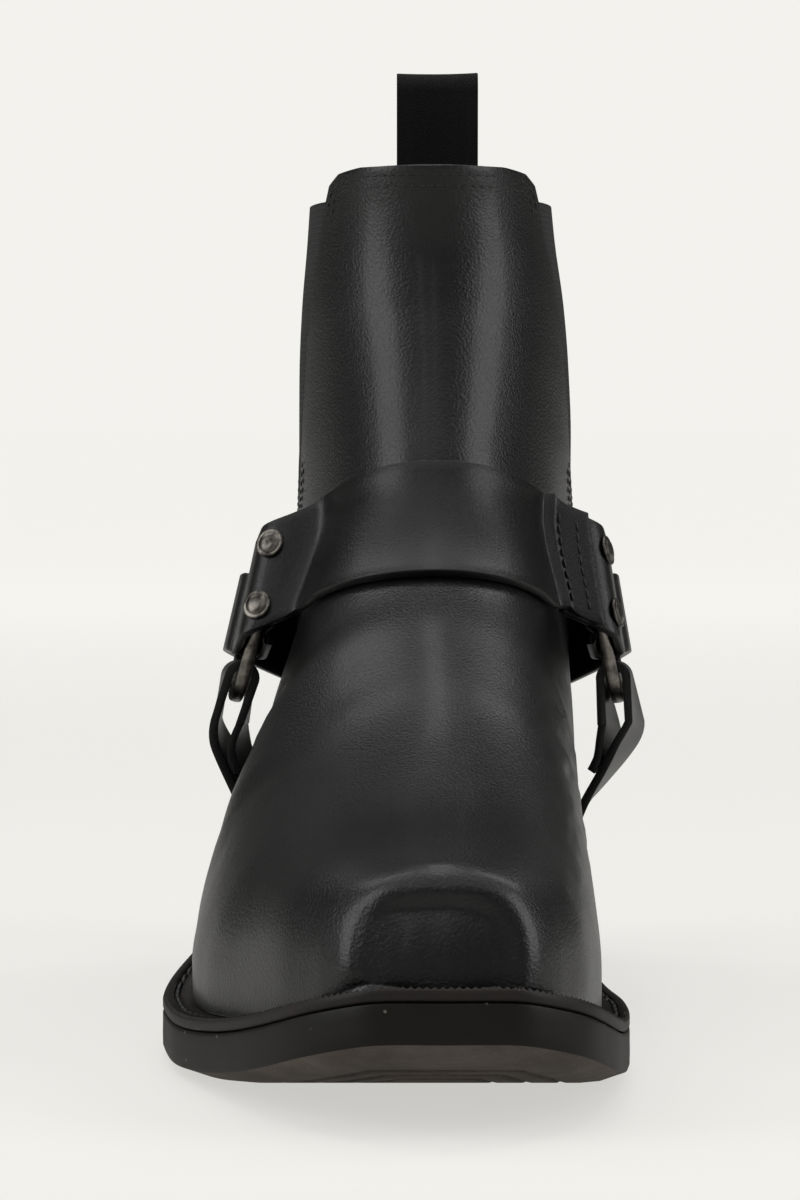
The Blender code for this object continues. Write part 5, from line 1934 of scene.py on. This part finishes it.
for side, word, back in ((-1, "lateral", rivetSize["lateralBack"]), (1, "medial", rivetSize["medialBack"])):
    for level, spread in (("lower", -rivetSize["spread"]), ("upper", rivetSize["spread"])):
        _, free = instepRun(side, spread)
        point, normal = backAlong(free, back)
        makeRivet(f"rivet_{word}_{level}", point + normal * (strapSize["thickness"] + 0.0002), normal)


def strapSeam(side, distances, spreadWidth):
    # rows of stitches across the strap's end, on its outer face
    lines = []
    for distance in distances:
        points, normals = [], []
        for step in range(13):
            offset = spreadWidth * (step / 12 - 0.5)
            _, free = instepRun(side, offset)
            point, normal = free[min(distance, len(free) - 1)]
            lift = 2 * strapSize["thickness"] + 2 * gaps["seat"]
            points.append(point + normal * lift)
            normals.append(normal)
        lines.append(refine(points, normals, 0.002))
    return lines


sewStitches("strap_end_stitching", strapSeam(1, (4, 8), 0.028), 0.0030, 0.0024, 0.00030, "strap_leather")
print("harness dressed")


# Floor, light and camera


def makeFloor():
    mesh = bpy.data.meshes.new("floor")
    size = 60.0
    mesh.from_pydata(
        [(-size, -size, 0), (size, -size, 0), (size, size, 0), (-size, size, 0)], [], [(0, 1, 2, 3)]
    )
    material, tree, shader = newMaterial(
        "pale_paper_floor", {
            "Base Color": toLinear("#9F9E9B"),
            "Roughness": 0.9,
            "Specular IOR Level": 0.0,
            "Emission Color": toLinear("#F4F3EF"),
        }
    )
    place = addNode(tree, "NewGeometry")
    away = addNode(tree, "VectorMath", {"operation": "LENGTH"}, links={0: (place, "Position")})
    glow = addNode(
        tree, "MapRange", {"interpolation_type": "SMOOTHSTEP"}, {
            "From Min": 0.3,
            "From Max": 2.4,
            "To Min": 0.635,
            "To Max": 0.86,
        }, {"Value": (away, "Value")}
    )
    seen = addNode(tree, "LightPath")
    share = addNode(
        tree, "MapRange", sockets={"To Min": 0.35, "To Max": 1.0}, links={"Value": (seen, "Is Camera Ray")}
    )
    part = addNode(
        tree, "Math", {"operation": "MULTIPLY"}, links={0: (glow, "Result"), 1: (share, "Result")}
    )
    tree.links.new(part.outputs["Value"], shader.inputs["Emission Strength"])
    mesh.materials.append(material)
    floor = bpy.data.objects.new("floor", mesh)
    bpy.context.scene.collection.objects.link(floor)


makeFloor()

lightLook = dict(
    # name, place, aim, width, height, power
    lamps=(
        ("key", (-0.44, -1.55, 0.80), (0, -0.08, 0.12), 0.08, 0.9, 0.65),
        ("second", (-0.02, -1.70, 0.90), (0, -0.08, 0.12), 0.08, 0.8, 0.5),
        ("overhead", (-0.03, 0.45, 1.45), (-0.03, 0.30, 0.0), 0.18, 2.0, 3.2),
        ("right", (0.95, -0.45, 0.50), (0, -0.14, 0.06), 0.6, 0.8, 4.5),
        ("left", (-1.0, -0.45, 0.50), (0, -0.14, 0.06), 0.6, 0.8, 4.5),
        ("rightHigh", (0.80, 0.40, 1.35), (0, -0.12, 0.06), 0.4, 0.9, 3.4),
        ("leftHigh", (-0.80, 0.40, 1.35), (0, -0.12, 0.06), 0.4, 0.9, 2.8),
    ),
    world="#F4F3EF",
    worldStrength=0.10,
    ceiling=0.80,
    ceilingSpread=75.0,
    backdrop=0.99,
)


def makeLights(look):
    for name, place, aim, width, height, power in look["lamps"]:
        lamp = bpy.data.lights.new(name, "AREA")
        lamp.shape = "RECTANGLE"
        lamp.size, lamp.size_y, lamp.energy = width, height, power
        holder = bpy.data.objects.new(name, lamp)
        holder.location = place
        holder.rotation_euler = (Vector(aim) - Vector(place)).to_track_quat("-Z", "Y").to_euler()
        bpy.context.scene.collection.objects.link(holder)
    sun = bpy.data.lights.new("ceiling", "SUN")
    sun.energy, sun.angle = look["ceiling"], math.radians(look["ceilingSpread"])
    holder = bpy.data.objects.new("ceiling", sun)
    holder.rotation_euler = (math.radians(18), math.radians(-6), 0)
    bpy.context.scene.collection.objects.link(holder)
    world = bpy.data.worlds.new("studio")
    world.use_nodes = True
    tree = world.node_tree
    sky = tree.nodes["Background"]
    sky.inputs["Color"].default_value = toLinear(look["world"])
    seen = addNode(tree, "LightPath")
    spread = addNode(
        tree,
        "MapRange",
        sockets={"To Min": look["worldStrength"], "To Max": look["backdrop"]},
        links={"Value": (seen, "Is Camera Ray")},
    )
    tree.links.new(spread.outputs["Result"], sky.inputs["Strength"])
    bpy.context.scene.world = world
    bpy.context.scene.view_settings.view_transform = "Standard"


makeLights(lightLook)

cameraLook = dict(place=(-0.009, -1.068, 0.150), tilt=87.4, lens=115.9)
lens = bpy.data.cameras.new("camera")
lens.lens, lens.sensor_width, lens.sensor_height, lens.sensor_fit = cameraLook["lens"], 36.0, 36.0, "AUTO"
camera = bpy.data.objects.new("camera", lens)
camera.location = cameraLook["place"]
camera.rotation_euler = (math.radians(cameraLook["tilt"]), 0, 0)
bpy.context.scene.collection.objects.link(camera)
bpy.context.scene.camera = camera
print("stage made")
